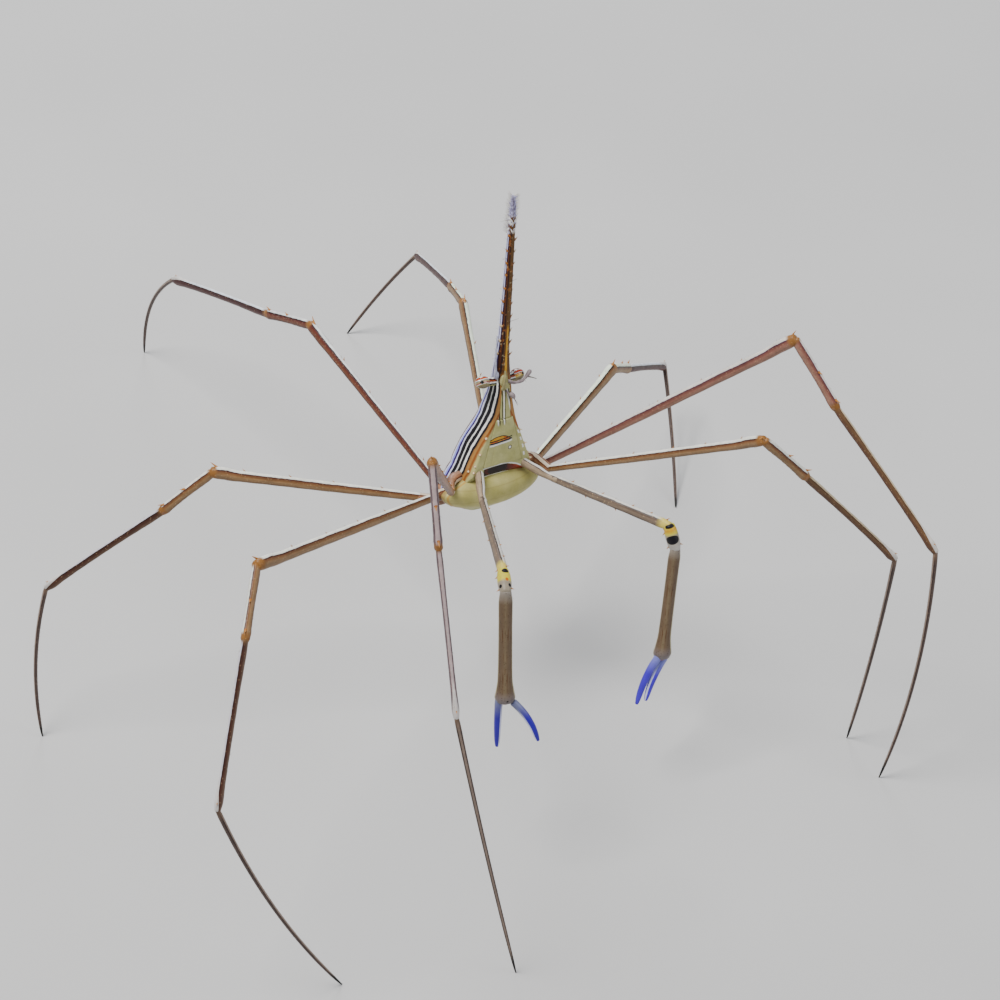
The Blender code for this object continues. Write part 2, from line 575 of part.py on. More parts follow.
# ---------------------------------------------------------------- build
def build():
    for obj in list(bpy.data.objects):
        bpy.data.objects.remove(obj, do_unlink=True)
    parts = bpy.data.collections.new("arrow_crab")
    helpers = bpy.data.collections.new("cutters")
    for collection in (parts, helpers):
        bpy.context.scene.collection.children.link(collection)

    mats = {
        "shell": material("shell_striped", (0.30, 0.16, 0.10), 0.42),
        "face": material("face_cream", (0.62, 0.55, 0.34), 0.45),
        "belly": material("belly_cream", (0.66, 0.60, 0.38), 0.40),
        "rostrum": material("rostrum_brown", (0.36, 0.17, 0.08), 0.42),
        "eye": material("eye_red_brown", (0.34, 0.07, 0.04), 0.15),
        "feeler": material("feeler_grey", (0.45, 0.42, 0.36), 0.35),
        "leg": material("leg_orange_brown", (0.42, 0.19, 0.09), 0.42),
        "shin": material("shin_brown", (0.40, 0.25, 0.17), 0.42),
        "claw_tip": material("dactylus_grey", (0.16, 0.13, 0.12), 0.38),
        "arm": material("arm_grey_brown", (0.40, 0.30, 0.22), 0.42),
        "hand": material("palm_grey", (0.42, 0.38, 0.33), 0.38),
        "finger": material("finger_violet", (0.14, 0.10, 0.55), 0.30),
    }

    frame = bpy.data.objects.new("body_frame", None)
    frame.matrix_world = BODY_MATRIX
    parts.objects.link(frame)
    bpy.context.view_layer.update()

    clearance = build_body(parts, helpers, frame, mats)
    build_rostrum(parts, helpers, mats)
    build_head(parts, helpers, mats)

    bm = bmesh.new()
    bmesh.ops.create_cube(bm, size=MM, matrix=Matrix.Translation(Vector((0, 0, -10)) * MM)
                          @ Matrix.Diagonal((300, 300, 20, 1)))
    mesh = bpy.data.meshes.new("floor_cut")
    bm.to_mesh(mesh)
    bm.free()
    floor = cutter(new_object("floor_cut", mesh, helpers))

    for number in LEG_LENGTHS:
        for side in ("right", "left"):
            build_leg(number, side, parts, helpers, clearance, floor, mats)
    for side in ("right", "left"):
        build_claw(side, parts, clearance, mats, helpers)
    bpy.context.view_layer.update()


build()
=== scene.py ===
"""Arrow crab: the detailed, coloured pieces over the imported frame."""
import math

import bpy
import numpy as np
from mathutils import Matrix, Vector


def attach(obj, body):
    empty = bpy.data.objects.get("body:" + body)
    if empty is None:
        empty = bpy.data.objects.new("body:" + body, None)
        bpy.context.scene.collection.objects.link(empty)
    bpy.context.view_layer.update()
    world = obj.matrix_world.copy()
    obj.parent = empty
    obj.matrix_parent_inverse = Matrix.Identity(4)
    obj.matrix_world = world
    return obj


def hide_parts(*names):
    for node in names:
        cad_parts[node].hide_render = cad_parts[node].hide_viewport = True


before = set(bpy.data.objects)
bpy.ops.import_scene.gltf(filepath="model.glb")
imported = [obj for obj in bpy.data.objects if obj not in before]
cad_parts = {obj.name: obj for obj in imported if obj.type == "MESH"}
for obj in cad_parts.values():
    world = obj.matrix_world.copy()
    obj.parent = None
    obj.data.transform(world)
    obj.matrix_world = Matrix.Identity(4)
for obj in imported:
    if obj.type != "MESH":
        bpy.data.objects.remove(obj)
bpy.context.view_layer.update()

MM = 0.001

# ------------------------------------------------------------------ stance, as in the part
ORIGIN_X, ORIGIN_Y = -5.2, 17.64   # middle of the outline, seen from the body
BODY_HEIGHT = 35.0             # height of the body's reference point
BODY_PITCH = 98.0              # rostrum raised from level, just past upright
BODY_ROLL = 11.0               # lean towards the crab's left

# Each limb: shared lengths for the pair, then one direction (azimuth,
# elevation) for each segment of the right and of the left limb.
LEG_LENGTHS = {                # merus, carpus, propodus, dactylus
    1: (44.0, 10.4, 20.5, 39.5),
    2: (43.5, 10.4, 22.4, 37.0),
    3: (31.0, 8.6, 19.4, 23.5),
    4: (38.0, 10.6, 25.0, 23.0),
}
LEG_BASE = {                   # beside, along and above the reference point
    1: (6.9, -0.6, -1.4),
    2: (7.8, -1.3, 0.2),
    3: (7.0, -2.7, 1.3),
    4: (3.9, -4.3, 2.6),
}
LEG_ELBOW = {1: ((4.6, 1.2, -0.4), (7.3, 1.5, -1.0))}   # coxa rounding the abdomen's rim
# outer part's length ratio, (azimuth, elevation) of merus, carpus and
# propodus, and the azimuth of the dactylus, which then reaches the floor
LEG_STANCE = {
    (1, "right"): (1.052, (-128.7, 46.8), (-116.7, -59.8), (-114.1, -57.9), -77.8),
    (1, "left"): (0.921, (-71.7, 33.7), (-21.2, -51.1), (-36.9, -48.6), 115.7),
    (2, "right"): (0.961, (-159.3, 23.7), (-132.5, -24.7), (-139.0, -48.4), -37.3),
    (2, "left"): (1.029, (-41.0, 36.6), (-77.2, -45.6), (-81.6, -35.0), -169.8),
    (3, "right"): (1.019, (146.3, 10.0), (164.5, -33.3), (157.1, -33.4), -143.7),
    (3, "left"): (0.968, (29.4, -7.6), (33.0, -37.8), (31.3, -36.4), -121.2),
    (4, "right"): (1.073, (87.5, 7.2), (95.0, -23.0), (92.5, -20.9), 89.8),
    (4, "left"): (0.922, (62.5, 3.1), (67.4, -23.9), (70.3, -25.7), 130.8),
}
DACTYL_BOW = {                 # outward bow of the dactylus, share of its length
    (1, "right"): 0.015, (1, "left"): 0.01, (2, "right"): 0.043, (2, "left"): 0.04,
    (3, "right"): 0.05, (3, "left"): 0.04, (4, "right"): 0.09, (4, "left"): 0.05,
}
LEG_RADII = {                  # merus, carpus, propodus, dactylus at its root
    1: (0.62, 0.64, 0.54, 0.34),
    2: (0.72, 0.70, 0.62, 0.34),
    3: (0.72, 0.70, 0.60, 0.32),
    4: (0.64, 0.66, 0.62, 0.31),
}
CARPUS_THICKNESS = 0.80        # sideways thickness over height of a segment
PROPODUS_THICKNESS = 0.72
COXA_RADIUS = 0.78
DACTYL_TIP_RADIUS = 0.25

CLAW_BASE = (3.9, 2.2, -3.2)
CLAW_LENGTHS = (3.6, 18.6, 3.3, 15.3, 7.0)   # ischium, merus, carpus, palm, fingers
CLAW_STANCE = {                # directions of those, and of the moving finger
    "right": ((-120, -8), (-116, 10), (-119, -12), (-126, -69), (-134, -77), (-67, -51)),
    "left": ((-62, -15), (-65, -2), (-95, -59), (-139, -64), (-165, -52), (-160, -44)),
}
CLAW_HINGE = {"right": (-32, 1), "left": (11, 7)}   # from fixed to moving finger
CLAW_RADII = (0.62, 0.66, 0.84, 0.93)        # ischium, merus, carpus, palm
PALM_PROFILE = ((0.0, 0.82), (0.10, 1.0), (0.30, 0.98), (0.60, 1.0), (0.80, 1.07),
                (0.91, 1.30), (0.97, 1.48), (1.0, 1.30))
PALM_THICKNESS = 0.80          # across the hinge direction
FINGER_APART = 0.80            # each finger's root from the palm's middle line
FINGER_RADII = (0.50, 0.46, 0.43, 0.36, 0.26)
FINGER_BOW = {"right": 0.9, "left": 1.0}     # outward bow, over the turn from the palm
EYE_PLACE = {"right": (3.1, 15.4, -1.2), "left": (-2.6, 15.15, -1.2)}
EYE_TURN = {"right": 8.0, "left": -4.0}      # the eye's own lean, degrees
ABDOMEN_CENTRE, ABDOMEN_RADII, ABDOMEN_FRONT = (0.4, -0.65, -1.0), (8.2, 3.05, 3.3), 1.45
HIND, FRONT = -5.0, 16.0
ROSTRUM_END = FRONT + 0.3 + 25.6

# ------------------------------------------------------------------ small maths
BODY = (Matrix.Translation(Vector((-ORIGIN_X, -ORIGIN_Y, BODY_HEIGHT)))
        @ Matrix.Rotation(math.radians(BODY_ROLL), 4, "Y")
        @ Matrix.Rotation(math.pi, 4, "Z")
        @ Matrix.Rotation(math.radians(BODY_PITCH), 4, "X"))
BODY_R = np.array(BODY.to_3x3())
BODY_T = np.array(BODY.translation)


def on_body(points):
    return np.asarray(points, float) @ BODY_R.T + BODY_T


def way_body(v):
    return np.asarray(v, float) @ BODY_R.T


def unit(v):
    v = np.asarray(v, float)
    return v / np.maximum(np.linalg.norm(v, axis=-1, keepdims=True), 1e-12)


def direction(azimuth, elevation):
    a, e = math.radians(azimuth), math.radians(elevation)
    return np.array((math.cos(e) * math.cos(a), math.cos(e) * math.sin(a), math.sin(e)))


def curve(stations, at):
    """Smooth monotone interpolation between named stations."""
    x = np.array([s[0] for s in stations], float)
    y = np.array([s[1:] if len(s) > 2 else s[1] for s in stations], float)
    if y.ndim == 1:
        y = y[:, None]
    h = np.diff(x)
    d = np.diff(y, axis=0) / h[:, None]
    m = np.zeros_like(y)
    m[0], m[-1] = d[0], d[-1]
    for i in range(1, len(x) - 1):
        w1, w2 = 2 * h[i] + h[i - 1], h[i] + 2 * h[i - 1]
        same = d[i - 1] * d[i] > 0
        safe0 = np.where(same, d[i - 1], 1.0)
        safe1 = np.where(same, d[i], 1.0)
        m[i] = np.where(same, (w1 + w2) / (w1 / safe0 + w2 / safe1), 0.0)
    at = np.clip(np.atleast_1d(np.asarray(at, float)), x[0], x[-1])
    k = np.clip(np.searchsorted(x, at, side="right") - 1, 0, len(x) - 2)
    t = ((at - x[k]) / h[k])[:, None]
    hk = h[k][:, None]
    out = ((2 * t**3 - 3 * t**2 + 1) * y[k] + (t**3 - 2 * t**2 + t) * hk * m[k]
           + (-2 * t**3 + 3 * t**2) * y[k + 1] + (t**3 - t**2) * hk * m[k + 1])
    return out[:, 0] if out.shape[1] == 1 else out


def waves(x, seed, count=5, low=0.6, high=3.0):
    """Smooth pseudo-random line, about -1 to 1."""
    rng = np.random.default_rng(seed)
    x = np.asarray(x, float)
    out = np.zeros_like(x)
    for _ in range(count):
        out += np.sin(x * rng.uniform(low, high) + rng.uniform(0, 6.28)) * rng.uniform(0.4, 1.0)
    return out / count


# ------------------------------------------------------------------ mesh building
class Piece:
    """Collects tubes, spines and patches, then becomes one mesh object."""

    def __init__(self, name, columns=10, rows=80):
        self.name = name
        self.verts, self.faces, self.slots = [], [], []
        self.paint, self.place, self.bake = [], [], []
        self.count = 0
        self.cells = 0
        self.columns, self.rows = columns, rows

    def cell(self):
        """A small free patch at the right of the map, for a spine or a hair."""
        i = self.cells % (self.columns * self.rows)
        self.cells += 1
        c, r = i % self.columns, i // self.columns
        w, h = 0.19 / self.columns, 0.98 / self.rows
        return (0.805 + c * w + 0.15 * w, 0.01 + r * h + 0.15 * h,
                0.805 + (c + 1) * w - 0.15 * w, 0.01 + (r + 1) * h - 0.15 * h)

    def grid(self, points, paint, rect, wrap, slot, place=None):
        """points (R, C, 3) in mm; paint (R, C or C + 1, 2) is the marking map."""
        rows, cols = points.shape[:2]
        base = self.count
        self.verts.append(points.reshape(-1, 3))
        self.count += rows * cols
        n = cols if wrap else cols - 1
        r, c = np.meshgrid(np.arange(rows - 1), np.arange(n), indexing="ij")
        r, c = r.ravel(), c.ravel()
        c2 = (c + 1) % cols
        self.faces.append(base + np.stack([r * cols + c, r * cols + c2, (r + 1) * cols + c2, (r + 1) * cols + c], 1))
        corner = lambda a: np.stack([a[r, c], a[r, c + 1], a[r + 1, c + 1], a[r + 1, c]], 1)
        self.paint.append(corner(paint))
        self.place.append(corner(paint if place is None else place))
        wide = n + 1
        u = rect[0] + (rect[2] - rect[0]) * np.arange(wide) / n
        v = rect[1] + (rect[3] - rect[1]) * np.arange(rows) / (rows - 1)
        uv = np.stack(np.meshgrid(u, v), -1)
        self.bake.append(corner(uv))
        self.slots.append(np.full(len(r), slot))
        return base

    def tube(self, path, radii, up, around=20, slot=0, rect=(0.01, 0.01, 0.79, 0.99), span=(0.0, 1.0),
             domes=(0.5, 0.5), squash=1.0, bumps=None, line=None):
        """A tube along path with its dorsal side towards up; squash narrows it sideways.
        Its markings count from the direction line, or from up."""
        path = np.asarray(path, float)
        radii = np.asarray(radii, float)
        way = unit(np.gradient(path, axis=0))
        along = np.concatenate([[0], np.cumsum(np.linalg.norm(np.diff(path, axis=0), axis=1))])
        along = span[0] + (span[1] - span[0]) * along / along[-1]
        up = np.broadcast_to(np.asarray(up, float), path.shape)
        squash = np.broadcast_to(np.asarray(squash, float), radii.shape)
        steps = 5
        a = np.arange(1, steps + 1) / steps * (math.pi / 2)
        if domes[0] is not None:
            heads = path[0] - way[0] * radii[0] * domes[0] * np.sin(a)[:, None]
            path = np.concatenate([heads[::-1], path])
            radii = np.concatenate([(radii[0] * np.maximum(np.cos(a), 0.02))[::-1], radii])
            way = np.concatenate([np.repeat(way[:1], steps, 0), way])
            up = np.concatenate([np.repeat(up[:1], steps, 0), up])
            along = np.concatenate([np.repeat(along[:1], steps), along])
            squash = np.concatenate([np.repeat(squash[:1], steps), squash])
        if domes[1] is not None:
            tails = path[-1] + way[-1] * radii[-1] * domes[1] * np.sin(a)[:, None]
            path = np.concatenate([path, tails])
            radii = np.concatenate([radii, radii[-1] * np.maximum(np.cos(a), 0.02)])
            way = np.concatenate([way, np.repeat(way[-1:], steps, 0)])
            up = np.concatenate([up, np.repeat(up[-1:], steps, 0)])
            along = np.concatenate([along, np.repeat(along[-1:], steps)])
            squash = np.concatenate([squash, np.repeat(squash[-1:], steps)])
        dorsal = unit(up - way * np.sum(up * way, 1, keepdims=True))
        side = np.cross(way, dorsal)
        turn = np.zeros(len(path))
        if line is not None:
            line = np.broadcast_to(np.asarray(line, float), path.shape)
            turn = np.arctan2(np.sum(line * side, 1), np.sum(line * dorsal, 1)) / (2 * math.pi)
        u = np.arange(around + 1) / around
        ang = 2 * math.pi * (u[:-1] - 0.5)
        scale = np.ones((len(path), around))
        if bumps is not None:
            scale = scale + bumps(along[:, None], ang[None, :])
        points = (path[:, None] + radii[:, None, None] * scale[..., None]
                  * (dorsal[:, None] * np.cos(ang)[None, :, None]
                     + side[:, None] * (np.sin(ang)[None, :] * squash[:, None])[..., None]))
        paint = np.stack(np.broadcast_arrays(u[None, :] - turn[:, None], along[:, None]), -1)
        self.grid(points, paint, rect, True, slot)
        return points

    def spine(self, root, way, length, radius, slot=1, lean=None, around=8):
        way = unit(way)
        t = np.array([-0.12, 0.0, 0.12, 0.3, 0.55, 0.8, 0.97])
        path = np.asarray(root) + way * (t * length)[:, None]
        if lean is not None:
            path = path + np.asarray(lean) * (t ** 2 * length)[:, None]
        radii = radius * np.array([1.5, 1.25, 0.95, 0.70, 0.46, 0.26, 0.10])
        up = np.array((0.31, 0.42, 0.85))
        if abs(np.dot(up, way)) > 0.9:
            up = np.array((0.9, -0.3, 0.2))
        self.tube(path, radii, up, around, slot, self.cell(), domes=(None, 0.8))

    def hair(self, root, way, length, radius=0.035, slot=2, lean=None):
        t = np.linspace(0, 1, 5)
        path = np.asarray(root) + unit(way) * (t * length)[:, None]
        if lean is not None:
            path = path + np.asarray(lean) * (t ** 2 * length)[:, None]
        up = np.array((0.31, 0.42, 0.85))
        if abs(np.dot(up, unit(way))) > 0.9:
            up = np.array((0.9, -0.3, 0.2))
        self.tube(path, radius * (1 - 0.75 * t), up, 4, slot, self.cell(), domes=(None, None))

    def blob(self, centre, axes, slot=0, rect=None, rows=20, cols=28, paint=None):
        """An ellipsoid: axes are three half-axis vectors; the pole is the third."""
        axes = np.asarray(axes, float)
        lat = np.linspace(-math.pi / 2 + 0.02, math.pi / 2 - 0.02, rows)
        lon = np.arange(cols) / cols * 2 * math.pi
        unit_p = np.stack([np.cos(lat)[:, None] * np.cos(lon), np.cos(lat)[:, None] * np.sin(lon),
                           np.repeat(np.sin(lat)[:, None], cols, 1)], -1)
        points = np.asarray(centre) + unit_p @ axes
        u, v = np.arange(cols + 1) / cols, (lat / math.pi) + 0.5
        uv = np.stack(np.broadcast_arrays(u[None, :], v[:, None]), -1)
        self.grid(points, uv if paint is None else paint(unit_p), rect or self.cell(), True, slot)
        return points

    def finish(self, materials, nodes, subsurf=0):
        verts = np.concatenate(self.verts) * MM
        faces = np.concatenate(self.faces)
        mesh = bpy.data.meshes.new(self.name)
        mesh.from_pydata(verts.tolist(), [], faces.tolist())
        for m in materials:
            mesh.materials.append(m)
        mesh.polygons.foreach_set("material_index", np.concatenate(self.slots).astype(np.int32))
        for label, data in (("OFBake", self.bake), ("Paint", self.paint), ("Place", self.place)):
            layer = mesh.uv_layers.new(name=label)
            layer.data.foreach_set("uv", np.concatenate(data).reshape(-1).astype(np.float32))
        mesh.uv_layers["OFBake"].active = True
        mesh.update()
        mesh.validate()
        mesh.shade_smooth()
        obj = bpy.data.objects.new(self.name, mesh)
        bpy.context.scene.collection.objects.link(obj)
        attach(obj, "root")
        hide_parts(*nodes)
        return obj


# ------------------------------------------------------------------ node helpers
class Nodes:
    """Short calls for building one material's nodes."""

    def __init__(self, name, roughness=0.35, specular=0.5, coat=0.0, coat_roughness=0.12):
        self.mat = bpy.data.materials.new(name)
        self.mat.use_nodes = True
        self.tree = self.mat.node_tree
        self.shader = self.tree.nodes["Principled BSDF"]
        self.shader.inputs["Roughness"].default_value = roughness
        self.shader.inputs["Specular IOR Level"].default_value = specular
        self.shader.inputs["Coat Weight"].default_value = coat
        self.shader.inputs["Coat Roughness"].default_value = coat_roughness
        self.coords = None

    def link(self, a, b):
        self.tree.links.new(a, b)

    def put(self, socket, value):
        if hasattr(value, "is_output"):
            self.link(value, socket)
        elif isinstance(value, (tuple, list)) and len(value) == 3 and socket.type == "RGBA":
            socket.default_value = (*value, 1.0)
        else:
            socket.default_value = value

    def math(self, op, a, b=0.0, c=None, clamp=False):
        n = self.tree.nodes.new("ShaderNodeMath")
        n.operation = op
        n.use_clamp = clamp
        self.put(n.inputs[0], a)
        self.put(n.inputs[1], b)
        if c is not None:
            self.put(n.inputs[2], c)
        return n.outputs[0]

    def uv(self, name):
        n = self.tree.nodes.new("ShaderNodeUVMap")
        n.uv_map = name
        s = self.tree.nodes.new("ShaderNodeSeparateXYZ")
        self.link(n.outputs[0], s.inputs[0])
        return s.outputs[0], s.outputs[1]

    def noise(self, scale, detail=3.0, rough=0.55, stretch=None, vector=None):
        if self.coords is None:
            self.coords = self.tree.nodes.new("ShaderNodeTexCoord").outputs["Object"]
        n = self.tree.nodes.new("ShaderNodeTexNoise")
        n.inputs["Scale"].default_value = scale
        n.inputs["Detail"].default_value = detail
        n.inputs["Roughness"].default_value = rough
        self.link(self.coords if vector is None else vector, n.inputs["Vector"])
        return n.outputs["Fac"]

    def voronoi(self, scale):
        if self.coords is None:
            self.coords = self.tree.nodes.new("ShaderNodeTexCoord").outputs["Object"]
        n = self.tree.nodes.new("ShaderNodeTexVoronoi")
        n.inputs["Scale"].default_value = scale
        self.link(self.coords, n.inputs["Vector"])
        return n.outputs["Distance"]

    def ramp(self, fac, stops, kind="LINEAR"):
        n = self.tree.nodes.new("ShaderNodeValToRGB")
        n.color_ramp.interpolation = kind
        el = n.color_ramp.elements
        while len(el) > 1:
            el.remove(el[-1])
        first = True
        for at, colour in stops:
            e = el[0] if first else el.new(at)
            first = False
            e.position = at
            c = colour if isinstance(colour, (tuple, list)) else (colour,) * 3
            e.color = (*c, 1.0)
        self.put(n.inputs[0], fac)
        return n.outputs[0]

    def mix(self, fac, a, b, kind="MIX"):
        n = self.tree.nodes.new("ShaderNodeMix")
        n.data_type = "RGBA"
        n.blend_type = kind
        self.put(n.inputs["Factor"], fac)
        self.put(n.inputs["A"] if False else n.inputs[6], a)
        self.put(n.inputs[7], b)
        return n.outputs[2]

    def band(self, value, low, high, soft=0.01):
        """1 between low and high, easing over soft at both edges."""
        up = self.math("DIVIDE", self.math("SUBTRACT", value, low), soft, clamp=True)
        down = self.math("DIVIDE", self.math("SUBTRACT", high, value), soft, clamp=True)
        return self.math("MULTIPLY", up, down)

    def bump(self, height, strength=0.3, distance=0.0001):
        n = self.tree.nodes.new("ShaderNodeBump")
        n.inputs["Strength"].default_value = strength
        n.inputs["Distance"].default_value = distance
        self.link(height, n.inputs["Height"])
        self.link(n.outputs[0], self.shader.inputs["Normal"])

    def colour(self, socket):
        self.link(socket, self.shader.inputs["Base Color"])

    def roughness(self, fac, low, high):
        v = self.math("MULTIPLY_ADD", fac, high - low, low)
        self.link(v, self.shader.inputs["Roughness"])


def mottled(n, colour, amount=0.22, scale=700.0, fine=3200.0):
    """Uneven pigment: soft clouds and fine grains over a colour."""
    clouds = n.ramp(n.noise(scale, 3.0), [(0.30, 1 - amount), (0.70, 1 + 0.4 * amount)])
    grains = n.ramp(n.noise(fine, 2.0), [(0.35, 1 - 0.7 * amount), (0.65, 1.0)])
    return n.mix(1.0, n.mix(1.0, colour, clouds, "MULTIPLY"), grains, "MULTIPLY")


GAIN, VEIL = 0.86, 0.024      # how much of a pigment the studio light shows, and its grey veil


def pigment(r, g, b):
    """The base colour that shows as this display colour, each part 0 to 255."""
    c = np.array((r, g, b)) / 255.0
    c = np.where(c <= 0.04045, c / 12.92, ((c + 0.055) / 1.055) ** 2.4)
    return tuple(float(v) for v in np.clip((c - VEIL) / GAIN, 0.004, 0.92))


WHITE = pigment(222, 222, 218)
BLUE_WHITE = pigment(190, 192, 226)
PALE_BLUE = pigment(208, 210, 234)
PURPLE = pigment(62, 48, 92)
BLACK = (0.006, 0.005, 0.008)
DARK = pigment(58, 36, 30)
RED_BROWN = pigment(134, 68, 36)
BROWN = pigment(112, 80, 56)
CREAM = pigment(172, 168, 118)
GOLD = pigment(196, 146, 52)
AMBER = pigment(190, 118, 56)
ORANGE = pigment(184, 104, 48)


def shell_material():
    """Carapace, rostrum and face plates share one marking map.

    Paint holds the share around the section (0 middle of the back, 0.45 the
    shoulder, 0.78 the lower corner, 1 middle of the face) and the stripes'
    own coordinate, the same over the back, then 0.1 for each mm below the
    shoulder; Place holds the body's own x and y in mm as x / 16 + 0.5 and
    (y + 6) / 50."""
    n = Nodes("crab_shell", 0.42, 0.25, 0.06, 0.2)
    q, p = n.uv("Paint")
    px, py = n.uv("Place")
    x = n.math("MULTIPLY", n.math("SUBTRACT", px, 0.5), 16.0)
    y = n.math("SUBTRACT", n.math("MULTIPLY", py, 50.0), 6.0)
    sway = n.math("MULTIPLY", n.math("SUBTRACT", n.noise(420.0, 2.0, 0.5), 0.5), 0.034)
    fine = n.math("MULTIPLY", n.math("SUBTRACT", n.noise(1700.0, 2.0, 0.5), 0.5), 0.020)
    shake = n.math("ADD", sway, fine)
    qs = n.math("ADD", q, shake)
    ps = n.math("ADD", p, shake)
    # back: brown with gold and pale lines that run forward and meet
    tan = pigment(150, 108, 58)
    stripes = n.ramp(ps, [
        (0.000, tan), (0.030, tan), (0.040, DARK), (0.052, DARK), (0.060, BROWN),
        (0.130, BROWN), (0.140, DARK), (0.150, DARK), (0.156, WHITE), (0.172, WHITE), (0.180, DARK),
        (0.190, tan), (0.235, tan), (0.242, DARK), (0.250, DARK), (0.256, WHITE),
        (0.270, WHITE), (0.278, DARK), (0.290, BROWN), (0.318, BROWN), (0.326, PURPLE)])
    blue = pigment(136, 142, 218)
    flank = n.ramp(ps, [
        (0.330, PURPLE), (0.341, PURPLE), (0.347, WHITE), (0.374, BLUE_WHITE), (0.381, blue), (0.410, blue), (0.416, PURPLE),
        (0.449, PURPLE), (0.455, PALE_BLUE), (0.475, PALE_BLUE), (0.481, BLACK), (0.538, BLACK), (0.544, WHITE),
        (0.561, WHITE), (0.567, BLACK), (0.619, BLACK), (0.625, WHITE), (0.656, WHITE), (0.662, BLACK), (0.692, BLACK),
        (0.702, pigment(146, 106, 66)), (0.735, pigment(164, 124, 76)), (0.765, pigment(132, 78, 48)),
        (0.785, pigment(150, 106, 66)), (0.802, pigment(168, 150, 104)), (0.83, CREAM)])
    marks = n.mix(n.math("GREATER_THAN", ps, 0.330), stripes, flank)
    # the pale lower flank near the legs turns orange and brown
    hind = n.band(y, -6.0, 0.2, 0.8)
    marks = n.mix(n.math("MULTIPLY", hind, n.math("GREATER_THAN", q, 0.47)), marks,
                  n.ramp(n.noise(600.0, 2.0), [(0.35, pigment(140, 92, 52)), (0.65, pigment(176, 150, 104))]))
    # cream face
    face = n.ramp(n.noise(500.0, 3.0), [(0.3, pigment(166, 163, 108)), (0.7, pigment(182, 179, 128))])
    wob = n.math("MULTIPLY", n.math("SUBTRACT", n.noise(350.0, 1.0, 0.4), 0.5), 0.14)
    grain = n.math("MULTIPLY", n.math("SUBTRACT", n.noise(1800.0, 2.0, 0.5), 0.5), 0.10)
    xs = n.math("ADD", n.math("ADD", x, wob), grain)
    ys = n.math("ADD", n.math("ADD", y, wob), grain)
    # fine lines running down from under the rostrum, each black beside white
    xv = n.math("MULTIPLY_ADD", n.math("SUBTRACT", y, 12.0), -0.06, xs)
    upper = n.band(y, 8.9, 14.9, 0.5)
    for low, high, colour in ((1.12, 1.36, WHITE), (0.88, 1.10, BLACK), (0.46, 0.62, BLACK), (0.20, 0.42, WHITE),
                              (0.04, 0.18, BLACK)):
        face = n.mix(n.math("MULTIPLY", upper, n.band(xv, low, high, 0.04)), face, colour)
    # on the crab's left a white line bordered in black, then a row of white beads
    trail = n.math("MULTIPLY", n.ramp(n.math("DIVIDE", y, 16.0), [
        (0.22, 0.91), (0.31, 0.85), (0.444, 0.65), (0.512, 0.525), (0.579, 0.45), (0.646, 0.27), (0.826, 0.055),
        (0.92, 0.0)]), -4.0)
    off = n.math("SUBTRACT", xs, trail)
    run = n.band(y, 9.2, 14.4, 0.3)
    face = n.mix(n.math("MULTIPLY", run, n.band(off, -0.40, -0.14, 0.05)), face, BLACK)
    face = n.mix(n.math("MULTIPLY", run, n.band(off, -0.13, 0.13, 0.05)), face, WHITE)
    bead = n.math("GREATER_THAN", n.math("SINE", n.math("MULTIPLY", y, 5.4)), 0.10)
    bead = n.math("MULTIPLY", bead, n.band(y, 3.4, 9.2, 0.1))
    face = n.mix(n.math("MULTIPLY", bead, n.band(off, -0.16, 0.16, 0.06)), face, WHITE)
    # the short slanted mark across the mouth plates: a white line, a blue-black one,
    # then a gold field under a thin black arc
    v = n.math("MULTIPLY_ADD", x, 0.084, ys)
    wide = n.band(x, -1.38, 2.35, 0.16)
    fromx = n.math("SUBTRACT", x, 0.7)
    arc = n.math("ADD", ys, n.math("MULTIPLY", n.math("MULTIPLY", fromx, fromx), 0.22))
    field = n.math("MULTIPLY", n.math("GREATER_THAN", v, 6.60), n.math("LESS_THAN", arc, 7.51))
    goldy = n.mix(n.math("GREATER_THAN", n.noise(1500.0, 1.0), 0.52), GOLD, ORANGE)
    face = n.mix(n.math("MULTIPLY", wide, field), face, goldy)
    for value, low, high, colour in ((v, 6.86, 7.06, BLACK), (arc, 7.40, 7.56, DARK), (v, 6.50, 6.76, (0.012, 0.014, 0.035)),
                                     (v, 6.22, 6.49, WHITE)):
        face = n.mix(n.math("MULTIPLY", wide, n.band(value, low, high, 0.03)), face, colour)
    dot = n.math("SQRT", n.math("ADD", n.math("POWER", n.math("ADD", x, 1.01), 2.0),
                                n.math("POWER", n.math("SUBTRACT", y, 5.41), 2.0)))
    face = n.mix(n.band(dot, -1.0, 0.34, 0.05), face, pigment(84, 70, 58))
    face = n.mix(n.band(dot, -1.0, 0.22, 0.04), face, WHITE)
    # faint blotch by the mark
    blot = n.math("SQRT", n.math("ADD", n.math("POWER", n.math("SUBTRACT", x, 2.3), 2.0),
                                 n.math("POWER", n.math("SUBTRACT", y, 8.4), 2.0)))
    face = n.mix(n.math("MULTIPLY", n.band(blot, -1.0, 0.45, 0.3), 0.6), face, pigment(120, 84, 84))
